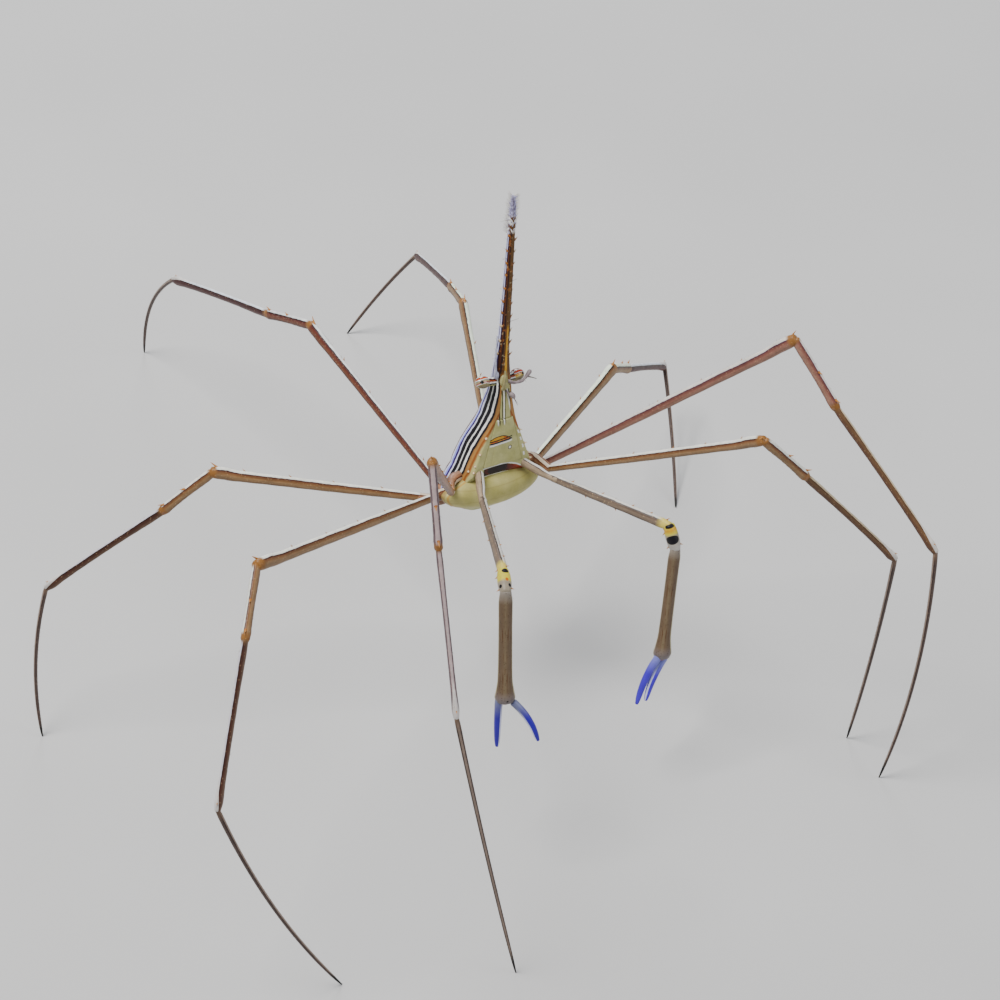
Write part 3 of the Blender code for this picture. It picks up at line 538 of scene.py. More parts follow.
    # dark band between fine white lines in front of the abdomen, redder to the crab's left: the dark is painted shadow
    # of the gap between the mouth plates and the abdomen
    bx = n.math("SUBTRACT", x, 0.6)
    bend = n.math("MULTIPLY_ADD", n.math("LESS_THAN", x, 0.6), 0.051, 0.027)
    top = n.math("SUBTRACT", 3.09, n.math("MULTIPLY", n.math("MULTIPLY", bx, bx), bend))
    bv = n.math("SUBTRACT", ys, top)
    across = n.band(x, -4.2, 3.3, 0.25)
    redness = n.math("DIVIDE", n.math("SUBTRACT", -0.6, x), 2.0, clamp=True)
    dark = n.mix(redness, (0.016, 0.009, 0.008), pigment(150, 62, 30))
    # brown flecks in the painted shadow are painted glints
    dark = n.mix(n.math("MULTIPLY", n.math("GREATER_THAN", n.noise(1300.0, 2.0), 0.58), 0.6), dark, pigment(96, 52, 28))
    for low, high, colour in ((0.0, 0.22, WHITE), (-1.16, 0.0, dark), (-1.38, -1.16, WHITE)):
        face = n.mix(n.math("MULTIPLY", across, n.band(bv, low, high, 0.03)), face, colour)
    body = n.mix(n.math("DIVIDE", n.math("SUBTRACT", ps, 0.798), 0.012, clamp=True), marks, face)
    # rostrum: blue-white edge line with a thin purple one in it, a dark and red-brown middle
    # with orange spots, and a gold line near its root
    ros = n.ramp(qs, [
        (0.00, pigment(84, 56, 40)), (0.10, pigment(110, 74, 46)), (0.20, pigment(70, 44, 32)), (0.27, DARK), (0.285, BLUE_WHITE),
        (0.47, PALE_BLUE), (0.482, PURPLE), (0.515, PURPLE), (0.527, BLUE_WHITE), (0.575, PALE_BLUE), (0.59, PURPLE),
        (0.64, DARK), (0.70, pigment(92, 60, 42)), (0.76, pigment(58, 40, 34)), (0.80, pigment(48, 34, 30)),
        (0.84, pigment(98, 70, 50)), (0.93, pigment(92, 68, 46)), (1.0, pigment(104, 80, 52))])
    spots = n.math("MULTIPLY", n.math("GREATER_THAN", n.noise(1700.0, 1.0), 0.60), n.math("GREATER_THAN", q, 0.62))
    ros = n.mix(n.math("MULTIPLY", spots, 0.5), ros, pigment(150, 96, 56))
    pale = n.math("MULTIPLY", n.math("GREATER_THAN", n.noise(2300.0, 1.0), 0.66), n.math("GREATER_THAN", q, 0.62))
    ros = n.mix(n.math("MULTIPLY", pale, 0.4), ros, pigment(190, 176, 140))
    gold = n.math("MULTIPLY", n.math("GREATER_THAN", q, 0.94), n.band(y, 16.0, 23.7, 1.0))
    ros = n.mix(gold, ros, GOLD)
    front = n.math("DIVIDE", n.math("SUBTRACT", y, 15.2), 1.6, clamp=True)
    body = n.mix(front, body, ros)
    # white blotches on brown, then the blue-white, crowded tip
    blotches = n.math("MULTIPLY", n.band(y, 36.6, 39.4, 0.5), n.math("GREATER_THAN", n.noise(1500.0, 1.0), 0.50))
    body = n.mix(n.math("MULTIPLY", n.band(y, 36.8, 45.0, 0.3), 0.9), body, pigment(104, 78, 56))
    body = n.mix(blotches, body, WHITE)
    body = n.mix(n.band(y, 38.9, 45.0, 0.4), body,
                 n.ramp(n.noise(2100.0, 2.0), [(0.40, pigment(118, 110, 140)), (0.60, pigment(176, 176, 206))]))
    n.colour(mottled(n, body, 0.12))
    grain = n.noise(2600.0, 3.0)
    n.bump(grain, 0.16, 0.00005)
    n.roughness(n.noise(900.0, 2.0), 0.34, 0.54)
    return n.mat


def belly_material():
    """Paint y holds how close the abdomen's surface lies to its rim (1 at the rim)."""
    n = Nodes("crab_belly", 0.42, 0.25, 0.06, 0.2)
    px, py = n.uv("Place")
    _, v = n.uv("Paint")
    x = n.math("MULTIPLY", n.math("SUBTRACT", px, 0.5), 16.0)
    y = n.math("SUBTRACT", n.math("MULTIPLY", py, 50.0), 6.0)
    base = n.ramp(n.noise(420.0, 3.0), [(0.3, pigment(162, 155, 92)), (0.7, pigment(178, 170, 112))])
    wobble = n.math("MULTIPLY", n.math("SUBTRACT", n.noise(500.0, 2.0), 0.5), 0.05)
    e = n.math("ADD", v, wobble)
    base = n.mix(n.math("MULTIPLY", n.band(e, 0.80, 0.90, 0.03), 0.7), base, pigment(176, 132, 60))
    base = n.mix(n.math("MULTIPLY", n.band(e, 0.93, 1.3, 0.03), 0.6), base, pigment(140, 108, 70))
    # faint joints between the abdomen's segments
    ring = n.math("SINE", n.math("MULTIPLY", y, 3.6))
    base = n.mix(n.math("MULTIPLY", n.band(ring, 0.94, 1.2, 0.05), 0.35), base, pigment(146, 132, 84))
    n.colour(mottled(n, base, 0.08))
    n.bump(n.noise(2400.0, 3.0), 0.14, 0.00005)
    n.roughness(n.noise(800.0, 2.0), 0.36, 0.54)
    return n.mat


def striped(pale, dark, shades, half=0.125):
    """Colours around a limb, from its pale line (0) over a dark border to the far side (1). The pale line is partly
    pale shell and partly a painted highlight of the lit upper edge; the shades after the border are the shell's browns
    with painted light and shade in them, lightest where the light falls and darker towards the far side.
    """
    stops = [(0.0, pigment(*pale)), (half, pigment(*pale)), (half + 0.022, pigment(*dark)), (half + 0.055, pigment(*dark))]
    start = half + 0.10
    for i, shade in enumerate(shades):
        c = pigment(*shade)
        grey = sum(c) / 3
        stops.append((start + (0.84 - start) * i / (len(shades) - 1), tuple(1.2 * (0.74 * v + 0.26 * grey) for v in c)))
    return stops


def limb_material(name, stops, start=None, end=None, mottle=0.16, speck=0.22, rough=(0.36, 0.54), tip=None):
    """Stripes run along the limb: stops go from its pale line (0), partly a painted highlight of the lit upper edge, to
    its far side (1). start and end are (length share, colour) washes at its two ends."""
    n = Nodes(name, 0.42, 0.25, 0.05, 0.2)
    u, t = n.uv("Paint")
    side = n.math("MULTIPLY", n.math("ABSOLUTE", n.math("SUBTRACT", n.math("FRACT", u), 0.5)), 2.0)
    wob = n.math("MULTIPLY", n.math("SUBTRACT", n.noise(380.0, 2.0), 0.5), 0.07)
    tooth = n.math("MULTIPLY", n.math("SUBTRACT", n.noise(1900.0, 1.0), 0.5), 0.05)
    c = n.ramp(n.math("ADD", side, n.math("ADD", wob, tooth)), stops)
    # the dark parts carry fine lengthwise streaks
    streak = n.tree.nodes.new("ShaderNodeCombineXYZ")
    n.link(n.math("MULTIPLY", side, 9.0), streak.inputs[0])
    n.link(n.math("MULTIPLY", t, 5.0), streak.inputs[1])
    lines = n.ramp(n.noise(1.0, 2.0, vector=streak.outputs[0]), [(0.35, 0.80), (0.65, 1.12)])
    c = n.mix(n.math("GREATER_THAN", side, 0.20), c, n.mix(1.0, c, lines, "MULTIPLY"))
    if start:
        c = n.mix(n.math("SUBTRACT", 1.0, n.math("DIVIDE", t, start[0], clamp=True)), c, start[1])
    if end:
        c = n.mix(n.math("DIVIDE", n.math("SUBTRACT", t, 1.0 - end[0]), end[0] * 0.5, clamp=True), c, end[1])
    # tip: near the end a pale wash spreads from the pale line over the upper side, partly pale shell and partly a
    # painted highlight
    if tip:
        near = n.math("DIVIDE", n.math("SUBTRACT", t, 1.0 - tip[0]), tip[0], clamp=True)
        upper = n.math("LESS_THAN", n.math("SUBTRACT", side, n.math("MULTIPLY", wob, 2.0)), n.math("MULTIPLY", near, 0.42))
        c = n.mix(n.math("MULTIPLY", upper, 0.85), c, tip[1])
    c = mottled(n, c, mottle)
    if speck:
        spots = n.math("LESS_THAN", n.voronoi(2300.0), 0.20)
        c = n.mix(n.math("MULTIPLY", spots, speck), c, pigment(196, 168, 132))
    n.colour(c)
    n.bump(n.noise(3000.0, 2.0), 0.2, 0.00004)
    n.roughness(n.noise(900.0, 2.0), *rough)
    return n.mat


def spine_material(name, root, tip):
    n = Nodes(name, 0.38, 0.3, 0.08, 0.15)
    _, t = n.uv("Paint")
    c = n.ramp(t, [(0.0, root), (0.45, tip), (1.0, tuple(min(1.0, 1.15 * v) for v in tip))])
    n.colour(mottled(n, c, 0.12, 1500.0, 4000.0))
    return n.mat


def eye_material(name, stops):
    """Paint y runs over the eye from its lower (0) to its upper side (1)."""
    n = Nodes(name, 0.16, 0.4, 0.35, 0.06)
    u, v = n.uv("Paint")
    wob = n.math("MULTIPLY", n.math("SUBTRACT", n.noise(900.0, 2.0), 0.5), 0.05)
    e = n.math("ADD", v, wob)
    c = n.ramp(e, stops)
    dots = n.math("MULTIPLY", n.math("LESS_THAN", n.voronoi(5200.0), 0.28), n.math("LESS_THAN", e, 0.27))
    c = n.mix(n.math("MULTIPLY", dots, 0.7), c, pigment(96, 84, 74))
    n.colour(mottled(n, c, 0.08, 1500.0, 5000.0))
    n.bump(n.voronoi(9000.0), 0.12, 0.00002)
    return n.mat


def plain_material(name, low, high, roughness=0.4, coat=0.06, scale=900.0, alpha=None):
    n = Nodes(name, roughness, 0.3, coat, 0.15)
    n.colour(mottled(n, n.ramp(n.noise(scale, 3.0), [(0.32, low), (0.68, high)]), 0.14, scale * 1.7))
    n.bump(n.noise(scale * 3, 2.0), 0.2, 0.00004)
    return n.mat


def carpus_material(name, stops, spots):
    """Claw carpus: washes along it, with black and orange spots (around, along, half sizes, colour)."""
    n = Nodes(name, 0.42, 0.25, 0.05, 0.2)
    u, t = n.uv("Paint")
    u = n.math("FRACT", u)
    uneven = n.math("MULTIPLY", n.math("SUBTRACT", n.noise(700.0, 2.0), 0.5), 0.16)
    c = n.ramp(n.math("ADD", t, uneven), stops)
    for cu, ct, ru, rt, colour in spots:
        a = n.math("DIVIDE", n.math("SUBTRACT", u, cu), ru)
        b = n.math("DIVIDE", n.math("SUBTRACT", t, ct), rt)
        r = n.math("ADD", n.math("ADD", n.math("MULTIPLY", a, a), n.math("MULTIPLY", b, b)), uneven)
        c = n.mix(n.band(r, -1.0, 1.0, 0.2), c, colour)
    n.colour(mottled(n, c, 0.12))
    n.bump(n.noise(2600.0, 2.0), 0.2, 0.00004)
    return n.mat


def palm_material():
    """Olive-grey with brown lengthwise streaks and thin pale edges."""
    n = Nodes("claw_palm", 0.40, 0.25, 0.06, 0.15)
    u, t = n.uv("Paint")
    side = n.math("MULTIPLY", n.math("ABSOLUTE", n.math("SUBTRACT", n.math("FRACT", u), 0.5)), 2.0)
    wob = n.math("MULTIPLY", n.math("SUBTRACT", n.noise(380.0, 2.0), 0.5), 0.06)
    olive, pale = pigment(108, 92, 76), pigment(166, 158, 112)
    c = n.ramp(n.math("ADD", side, wob), [
        (0.0, pigment(118, 104, 84)), (0.12, olive), (0.30, pigment(100, 86, 72)), (0.385, olive), (0.40, pale), (0.47, pale),
        (0.485, pigment(104, 80, 60)), (0.75, olive), (0.90, pale), (1.0, pale)])
    streak = n.tree.nodes.new("ShaderNodeCombineXYZ")
    n.link(n.math("MULTIPLY", side, 16.0), streak.inputs[0])
    n.link(n.math("MULTIPLY", t, 4.0), streak.inputs[1])
    lines = n.noise(1.0, 2.0, vector=streak.outputs[0])
    brown = n.math("MULTIPLY", n.math("DIVIDE", n.math("SUBTRACT", lines, 0.56), 0.08, clamp=True),
                   n.math("LESS_THAN", side, 0.385))
    c = n.mix(n.math("MULTIPLY", brown, 0.8), c, pigment(88, 62, 44))
    # greyer at its root, blue-grey where the fingers start
    c = n.mix(n.math("SUBTRACT", 1.0, n.math("DIVIDE", t, 0.10, clamp=True)), c, pigment(140, 132, 122))
    c = n.mix(n.math("MULTIPLY", n.math("DIVIDE", n.math("SUBTRACT", t, 0.90), 0.10, clamp=True), 0.7), c,
              pigment(124, 118, 122))
    dots = n.math("LESS_THAN", n.voronoi(2600.0), 0.20)
    c = n.mix(n.math("MULTIPLY", dots, 0.4), c, pigment(64, 50, 40))
    n.colour(mottled(n, c, 0.12))
    n.bump(n.noise(2600.0, 2.0), 0.18, 0.00004)
    n.roughness(n.noise(900.0, 2.0), 0.34, 0.50)
    return n.mat


def finger_material(name, root, body, edge=0.17):
    """Violet-blue fingers, greyer at the root, with a pale line along the inner edge."""
    n = Nodes(name, 0.34, 0.3, 0.10, 0.1)
    u, t = n.uv("Paint")
    side = n.math("MULTIPLY", n.math("ABSOLUTE", n.math("SUBTRACT", n.math("FRACT", u), 0.5)), 2.0)
    violet = n.ramp(side, [(0.0, pigment(206, 208, 232)), (edge, pigment(190, 192, 226)), (edge + 0.04, body), (0.8, body),
                           (1.0, tuple(0.8 * v for v in body))])
    c = n.mix(n.math("DIVIDE", n.math("SUBTRACT", t, 0.10), 0.34, clamp=True), root, violet)
    n.colour(mottled(n, c, 0.12))
    n.bump(n.noise(2600.0, 2.0), 0.16, 0.00004)
    n.roughness(n.noise(900.0, 2.0), 0.28, 0.42)
    return n.mat


# each limb: pale line (partly a painted highlight), dark border, then shell browns with painted light and shade,
# lightest where the light falls and darker towards the far side
SANDY = striped((220, 220, 212), (66, 40, 28), ((112, 70, 34), (130, 92, 52), (141, 107, 67), (140, 106, 66), (128, 96, 62),
                                                (110, 78, 53), (100, 68, 48)))
PINKISH = striped((206, 202, 196), (82, 56, 70), ((112, 68, 60), (135, 86, 72), (149, 103, 83), (152, 108, 88),
                                                  (132, 88, 70), (112, 74, 60)))
PALE = striped((222, 230, 212), (30, 22, 24), ((96, 66, 44), (124, 92, 60), (140, 112, 74), (132, 100, 66), (104, 74, 52),
                                               (90, 62, 46)), 0.20)
RED_DARK = striped((214, 216, 216), (38, 22, 22), ((84, 44, 36), (104, 58, 42), (116, 70, 50), (104, 64, 48), (84, 52, 42),
                                                   (74, 46, 40)), 0.16)
SHIN_DARK = striped((200, 196, 204), (46, 32, 38), ((74, 50, 38), (82, 56, 42), (98, 70, 54), (104, 78, 62), (92, 68, 56)), 0.16)
SHIN_VIOLET = striped((172, 154, 154), (92, 74, 80), ((100, 82, 86), (94, 76, 82), (84, 66, 80), (80, 62, 78)), 0.17)
SHIN_PALE = striped((214, 220, 228), (58, 40, 46), ((66, 42, 44), (74, 46, 44), (98, 70, 68), (92, 66, 62)), 0.20)
SHIN_SANDY = striped((180, 166, 138), (70, 48, 38), ((106, 80, 54), (104, 76, 54), (96, 66, 50), (84, 58, 46)), 0.15)
DACT = striped((136, 120, 110), (60, 48, 46), ((76, 62, 58), (92, 76, 70), (86, 70, 64), (70, 58, 54)), 0.14)
LEG_LOOK = {      # merus and carpus, propodus
    (1, "right"): (PINKISH, SHIN_VIOLET), (1, "left"): (SANDY, SHIN_SANDY),
    (2, "right"): (SANDY, SHIN_DARK), (2, "left"): (PINKISH, SHIN_SANDY),
    (3, "right"): (SANDY, SHIN_DARK), (3, "left"): (PALE, SHIN_PALE),
    (4, "right"): (RED_DARK, SHIN_PALE), (4, "left"): (PALE, SHIN_PALE),
}
ARM_STOPS = striped((206, 204, 198), (52, 38, 34), ((96, 78, 66), (116, 98, 82), (126, 108, 90), (118, 100, 84), (98, 80, 68),
                                                    (90, 72, 62)), 0.12)

SHELL = shell_material()
BELLY = belly_material()
ORANGE_BROWN = pigment(140, 100, 62)
DACTYL = limb_material("leg_tip", DACT, start=(0.05, pigment(120, 100, 86)), end=(0.10, pigment(44, 36, 34)),
                       mottle=0.2, speck=0.12)
ARM = limb_material("claw_arm", ARM_STOPS, end=(0.10, pigment(208, 190, 96)), speck=0.4)
ARM_ROOT = limb_material("claw_root", striped((206, 204, 198), (60, 42, 36), ((150, 126, 98), (156, 134, 104), (146, 122, 96),
                                                                              (122, 98, 78)), 0.11), speck=0.3)
YELLOW, GREY_CREAM = pigment(203, 190, 70), pigment(150, 140, 124)
CLAW_CARPUS = {
    "right": carpus_material("claw_carpus_right", [(0.0, YELLOW), (0.52, YELLOW), (0.64, GREY_CREAM), (1.0, GREY_CREAM)],
                             ((0.44, 0.13, 0.10, 0.12, BLACK), (0.43, 0.56, 0.04, 0.08, ORANGE), (0.62, 0.82, 0.05, 0.08, BLACK),
                              (0.36, 0.80, 0.05, 0.08, BLACK), (0.90, 0.40, 0.10, 0.12, BLACK))),
    "left": carpus_material("claw_carpus_left", [(0.0, YELLOW), (0.15, GOLD), (0.30, YELLOW), (0.40, GREY_CREAM),
                                                 (1.0, pigment(176, 172, 166))],
                            ((0.50, 0.01, 0.16, 0.06, BLACK), (0.52, 0.56, 0.19, 0.20, BLACK), (0.95, 0.50, 0.10, 0.12, BLACK))),
}
PALM = palm_material()
FINGER = {
    "right": finger_material("claw_finger_right", pigment(112, 116, 148), pigment(60, 46, 156)),
    "left": finger_material("claw_finger_left", pigment(128, 132, 196), pigment(78, 60, 188), 0.10),
}
SPINE = spine_material("spine_amber", pigment(140, 86, 46), pigment(176, 122, 68))
PALE_SPINE = spine_material("spine_pale", pigment(150, 108, 66), pigment(222, 206, 170))
WHITE_SPINE = spine_material("spine_white", pigment(136, 128, 156), pigment(178, 176, 206))
SETA = plain_material("seta", pigment(112, 96, 84), pigment(160, 146, 132), 0.45, 0.0, 1500.0)
JOINT = plain_material("joint_skin", pigment(118, 84, 64), pigment(146, 110, 82), 0.42, 0.05, 1200.0)
PINK_SKIN = plain_material("finger_skin", pigment(170, 120, 112), pigment(196, 150, 140), 0.42, 0.05, 1200.0)
OLIVE = plain_material("antennule_olive", pigment(126, 120, 84), pigment(160, 152, 112), 0.42, 0.05, 1300.0)
PALE_FEELER = plain_material("feeler_pale", pigment(150, 150, 172), pigment(200, 202, 216), 0.42, 0.05, 1300.0)
FEELER = plain_material("feeler", pigment(112, 98, 104), pigment(160, 148, 148), 0.4, 0.05, 1300.0)


# ------------------------------------------------------------------ body surface
HALF_WIDTH = ((HIND, 2.8), (-4.1, 4.7), (-2.2, 6.45), (0.0, 6.3), (2.2, 5.25), (5.7, 3.8), (9.9, 2.2), (12.0, 1.95),
              (13.8, 1.70), (16.0, 1.40), (18.4, 1.15), (19.5, 1.03), (21.4, 0.85), (26.5, 0.68), (32.2, 0.60),
              (37.3, 0.50), (40.4, 0.38), (ROSTRUM_END, 0.20))
BACK = ((HIND, 1.2), (-3.6, 3.3), (-1.0, 4.35), (2.5, 4.25), (6.5, 3.1), (10.5, 1.5), (16.0, -0.2),
        (18.4, -0.25), (21.4, -0.30), (26.5, -0.26), (32.2, -0.26), (37.3, -0.22), (40.4, -0.28), (ROSTRUM_END, -0.42))
FACE_WIDTH = ((HIND, 2.2), (-4.1, 3.8), (-2.2, 5.4), (0.0, 5.4), (2.2, 4.9), (5.7, 3.5), (9.9, 1.85),
              (13.8, 1.0), (16.0, 0.85), (18.4, 0.60), (21.4, 0.46), (26.5, 0.40), (32.2, 0.34), (37.3, 0.28),
              (40.4, 0.22), (ROSTRUM_END, 0.10))
FACE = ((HIND, -0.2), (-3.6, -1.0), (-0.8, -1.6), (1.2, -2.4), (2.2, -3.0), (5.7, -2.8), (9.9, -2.6), (13.8, -2.4),
        (16.0, -2.0), (18.4, -1.84), (21.4, -1.70), (26.5, -1.56), (32.2, -1.38), (37.3, -1.16), (40.4, -0.96),
        (ROSTRUM_END, -0.78))


def section(y, q):
    """Points (x, z) of the body's right half at stations y (R) and shares q (C)."""
    y = np.atleast_1d(y)
    w, top = curve(HALF_WIDTH, y), curve(BACK, y)
    f, low = curve(FACE_WIDTH, y), curve(FACE, y)
    shoulder = np.minimum(1.1, low + 0.62 * (top - low))
    out = np.zeros((len(y), len(q), 2))
    for i in range(len(y)):
        a = np.linspace(0, math.pi / 2, 60)
        dorsal = np.stack([w[i] * np.sin(a), shoulder[i] + (top[i] - shoulder[i]) * np.cos(a)], 1)
        s = np.linspace(0, 1, 50)[1:]
        flank = np.stack([w[i] + (f[i] - w[i]) * s ** 1.6, shoulder[i] + (low[i] - shoulder[i]) * s], 1)
        t = np.linspace(1, 0, 40)[1:]
        face = np.stack([f[i] * t, low[i] - 0.16 * min(1.0, f[i]) * (1 - t * t)], 1)
        line = np.concatenate([dorsal, flank, face])
        share = np.concatenate([np.linspace(0, 0.45, 60), np.linspace(0.45, 0.78, 50)[1:],
                                np.linspace(0.78, 1.0, 40)[1:]])
        # ease the corner between flank and face
        for _ in range(5):
            line[1:-1] = 0.25 * line[:-2] + 0.5 * line[1:-1] + 0.25 * line[2:]
        out[i, :, 0] = np.interp(q, share, line[:, 0])
        out[i, :, 1] = np.interp(q, share, line[:, 1])
    return out


def relief(x, y, z, q):
    """Swellings and grooves of the back, in mm outward."""
    lobes = 0.30 * np.exp(-(((np.abs(x) - 3.6) / 2.0) ** 2 + ((y + 1.6) / 2.2) ** 2))
    stomach = 0.26 * np.exp(-((x / 1.7) ** 2 + ((y - 4.2) / 2.6) ** 2))
    heart = 0.22 * np.exp(-((x / 1.5) ** 2 + ((y + 2.4) / 1.2) ** 2))
    groove = -0.22 * np.exp(-((y - 1.0 - 0.22 * np.abs(x)) / 0.55) ** 2) * np.exp(-(x / 5.5) ** 2)
    back = np.clip((0.50 - q) / 0.12, 0, 1)
    flank = np.clip(1 - np.abs(q - 0.62) / 0.14, 0, 1)
    ripple = 0.035 * np.sin(y * 1.7 + 2.0) * np.exp(-((y - 5) / 6) ** 2)
    return back * (lobes + stomach + heart + groove) + flank * ripple


def stripe_place(ys, q, xz):
    """The stripes' coordinate: q over the back, then 0.1 for each mm below the shoulder."""
    run = np.cumsum(np.linalg.norm(np.diff(xz, axis=1), axis=-1), 1)
    run = np.concatenate([np.zeros((len(ys), 1)), run], 1)
    shoulder = np.array([np.interp(0.45, q, r) for r in run])
    corner = np.array([np.interp(0.78, q, r) for r in run])
    grow = np.maximum(1.0, 2.43 / np.maximum(corner - shoulder, 0.3)) * np.where(ys < 2.5, 1 + 0.08 * (2.5 - ys), 1.0)
    below = 0.45 + 0.1 * (run - shoulder[:, None]) * grow[:, None]
    return np.where(q[None, :] <= 0.45, q[None, :], below)


def loft(ys, q, inset=None):
    """Both halves of the body surface, as a closed ring per station."""
    xz = section(ys, q)
    right = np.stack([xz[..., 0], np.repeat(ys[:, None], len(q), 1), xz[..., 1]], -1)
    # outward push along the section's normal
    d = np.gradient(right, axis=1)
    normal = unit(np.stack([-d[..., 2], np.zeros_like(d[..., 0]), d[..., 0]], -1))
    push = relief(right[..., 0], right[..., 1], right[..., 2], q[None, :])
    if inset is not None:
        push = push - inset(right[..., 0], right[..., 1], q[None, :])
    right = right + normal * push[..., None]
    left = right[:, ::-1].copy()
    left[..., 0] *= -1
    ring = np.concatenate([right, left[:, 1:-1]], 1)
    qq = np.concatenate([q, q[::-1][1:-1], q[:1]])
    mark = stripe_place(ys, q, xz)
    mark = np.concatenate([mark, mark[:, ::-1][:, 1:-1], mark[:, :1]], 1)
    paint = np.stack(np.broadcast_arrays(qq[None, :], mark), -1)
    px = np.concatenate([ring[..., 0], ring[:, :1, 0]], 1) / 16 + 0.5
    py = np.repeat(((ys + 6) / 50)[:, None], px.shape[1], 1)
    return ring, paint, np.stack([px, py], -1)


PLATES = {   # outline (half width at the hind and front ends), y from and to
    "maxilliped": (3.25, 1.40, 3.08, 9.85),
    "epistome": (0.95, 0.60, 9.93, 15.4),
    "sternum": (4.15, 4.15, -3.2, 3.0),
}


def plate_hollow(x, y, q):
    """How far the carapace lies back under the plates of the face."""
    deep = np.zeros(np.broadcast(x, y, q).shape)
    for wide, narrow, low, high in PLATES.values():
        edge = np.interp(y, [low, high], [wide, narrow])
        inside = (np.clip((edge + 0.03 - np.abs(x)) / 0.06, 0, 1) * np.clip((y - low + 0.03) / 0.06, 0, 1)
                  * np.clip((high + 0.03 - y) / 0.06, 0, 1))
        deep = np.maximum(deep, inside * 0.16)
    return deep * (q > 0.70)


Q = np.concatenate([np.linspace(0, 0.42, 34), np.linspace(0.43, 0.76, 52)[:-1], np.linspace(0.76, 0.86, 22)[:-1],
                    np.linspace(0.86, 1.0, 34)])


def build_carapace():
    p = Piece("carapace_shell")
    ys = np.concatenate([[HIND + 0.02], np.linspace(-4.8, 16.02, 190)])
    ring, paint, place = loft(ys, Q, plate_hollow)
    # close the hind end with shrinking rings
    centre = np.array([0, HIND, 0.45])
    hind = [centre + (ring[0] - centre) * s - np.array([0, d, 0]) for s, d in
            ((0.02, 0.16), (0.35, 0.15), (0.65, 0.11), (0.88, 0.05))]
    rows = np.concatenate([np.stack(hind), ring])
    paint = np.concatenate([np.repeat(paint[:1], 4, 0), paint])
    place = np.concatenate([np.repeat(place[:1], 4, 0), place])
    p.grid(on_body(rows), paint, (0.005, 0.005, 0.795, 0.995), True, 0, place)
    # small pale bumps and spines along the lower flank and by the leg and claw bases
    rng = np.random.default_rng(5)
    for y, q in ((1.6, 0.60), (0.8, 0.66), (2.6, 0.70), (-1.0, 0.52), (3.6, 0.765), (2.75, 0.775), (5.2, 0.77),
                 (7.4, 0.77), (-2.6, 0.50), (0.2, 0.46)):
        for s in (1, -1):
            at = section(np.array([y]), np.array([q]))[0, 0]
            out = np.array([s * 0.80, 0.25, -0.15 if q < 0.7 else -0.7])
            p.spine(on_body([s * at[0], y, at[1]]), way_body(out), 0.34 + 0.10 * rng.random(), 0.17, 1)
    # three low spines of the back: behind the stomach, and one over each gill chamber
    for x, y in ((0.0, 5.2), (0.0, -2.2), (3.4, -1.2), (-3.4, -1.2)):
        zz = curve(BACK, [y])[0]
        w = curve(HALF_WIDTH, [y])[0]
        z = 1.1 + (zz - 1.1) * math.sqrt(max(0.0, 1 - (x / w) ** 2)) + 0.2
        p.spine(on_body([x, y, z]), way_body([x * 0.08, 0.25, 1.0]), 0.65, 0.24, 1)
    return p.finish([SHELL, PALE_SPINE, SETA], ["carapace"])


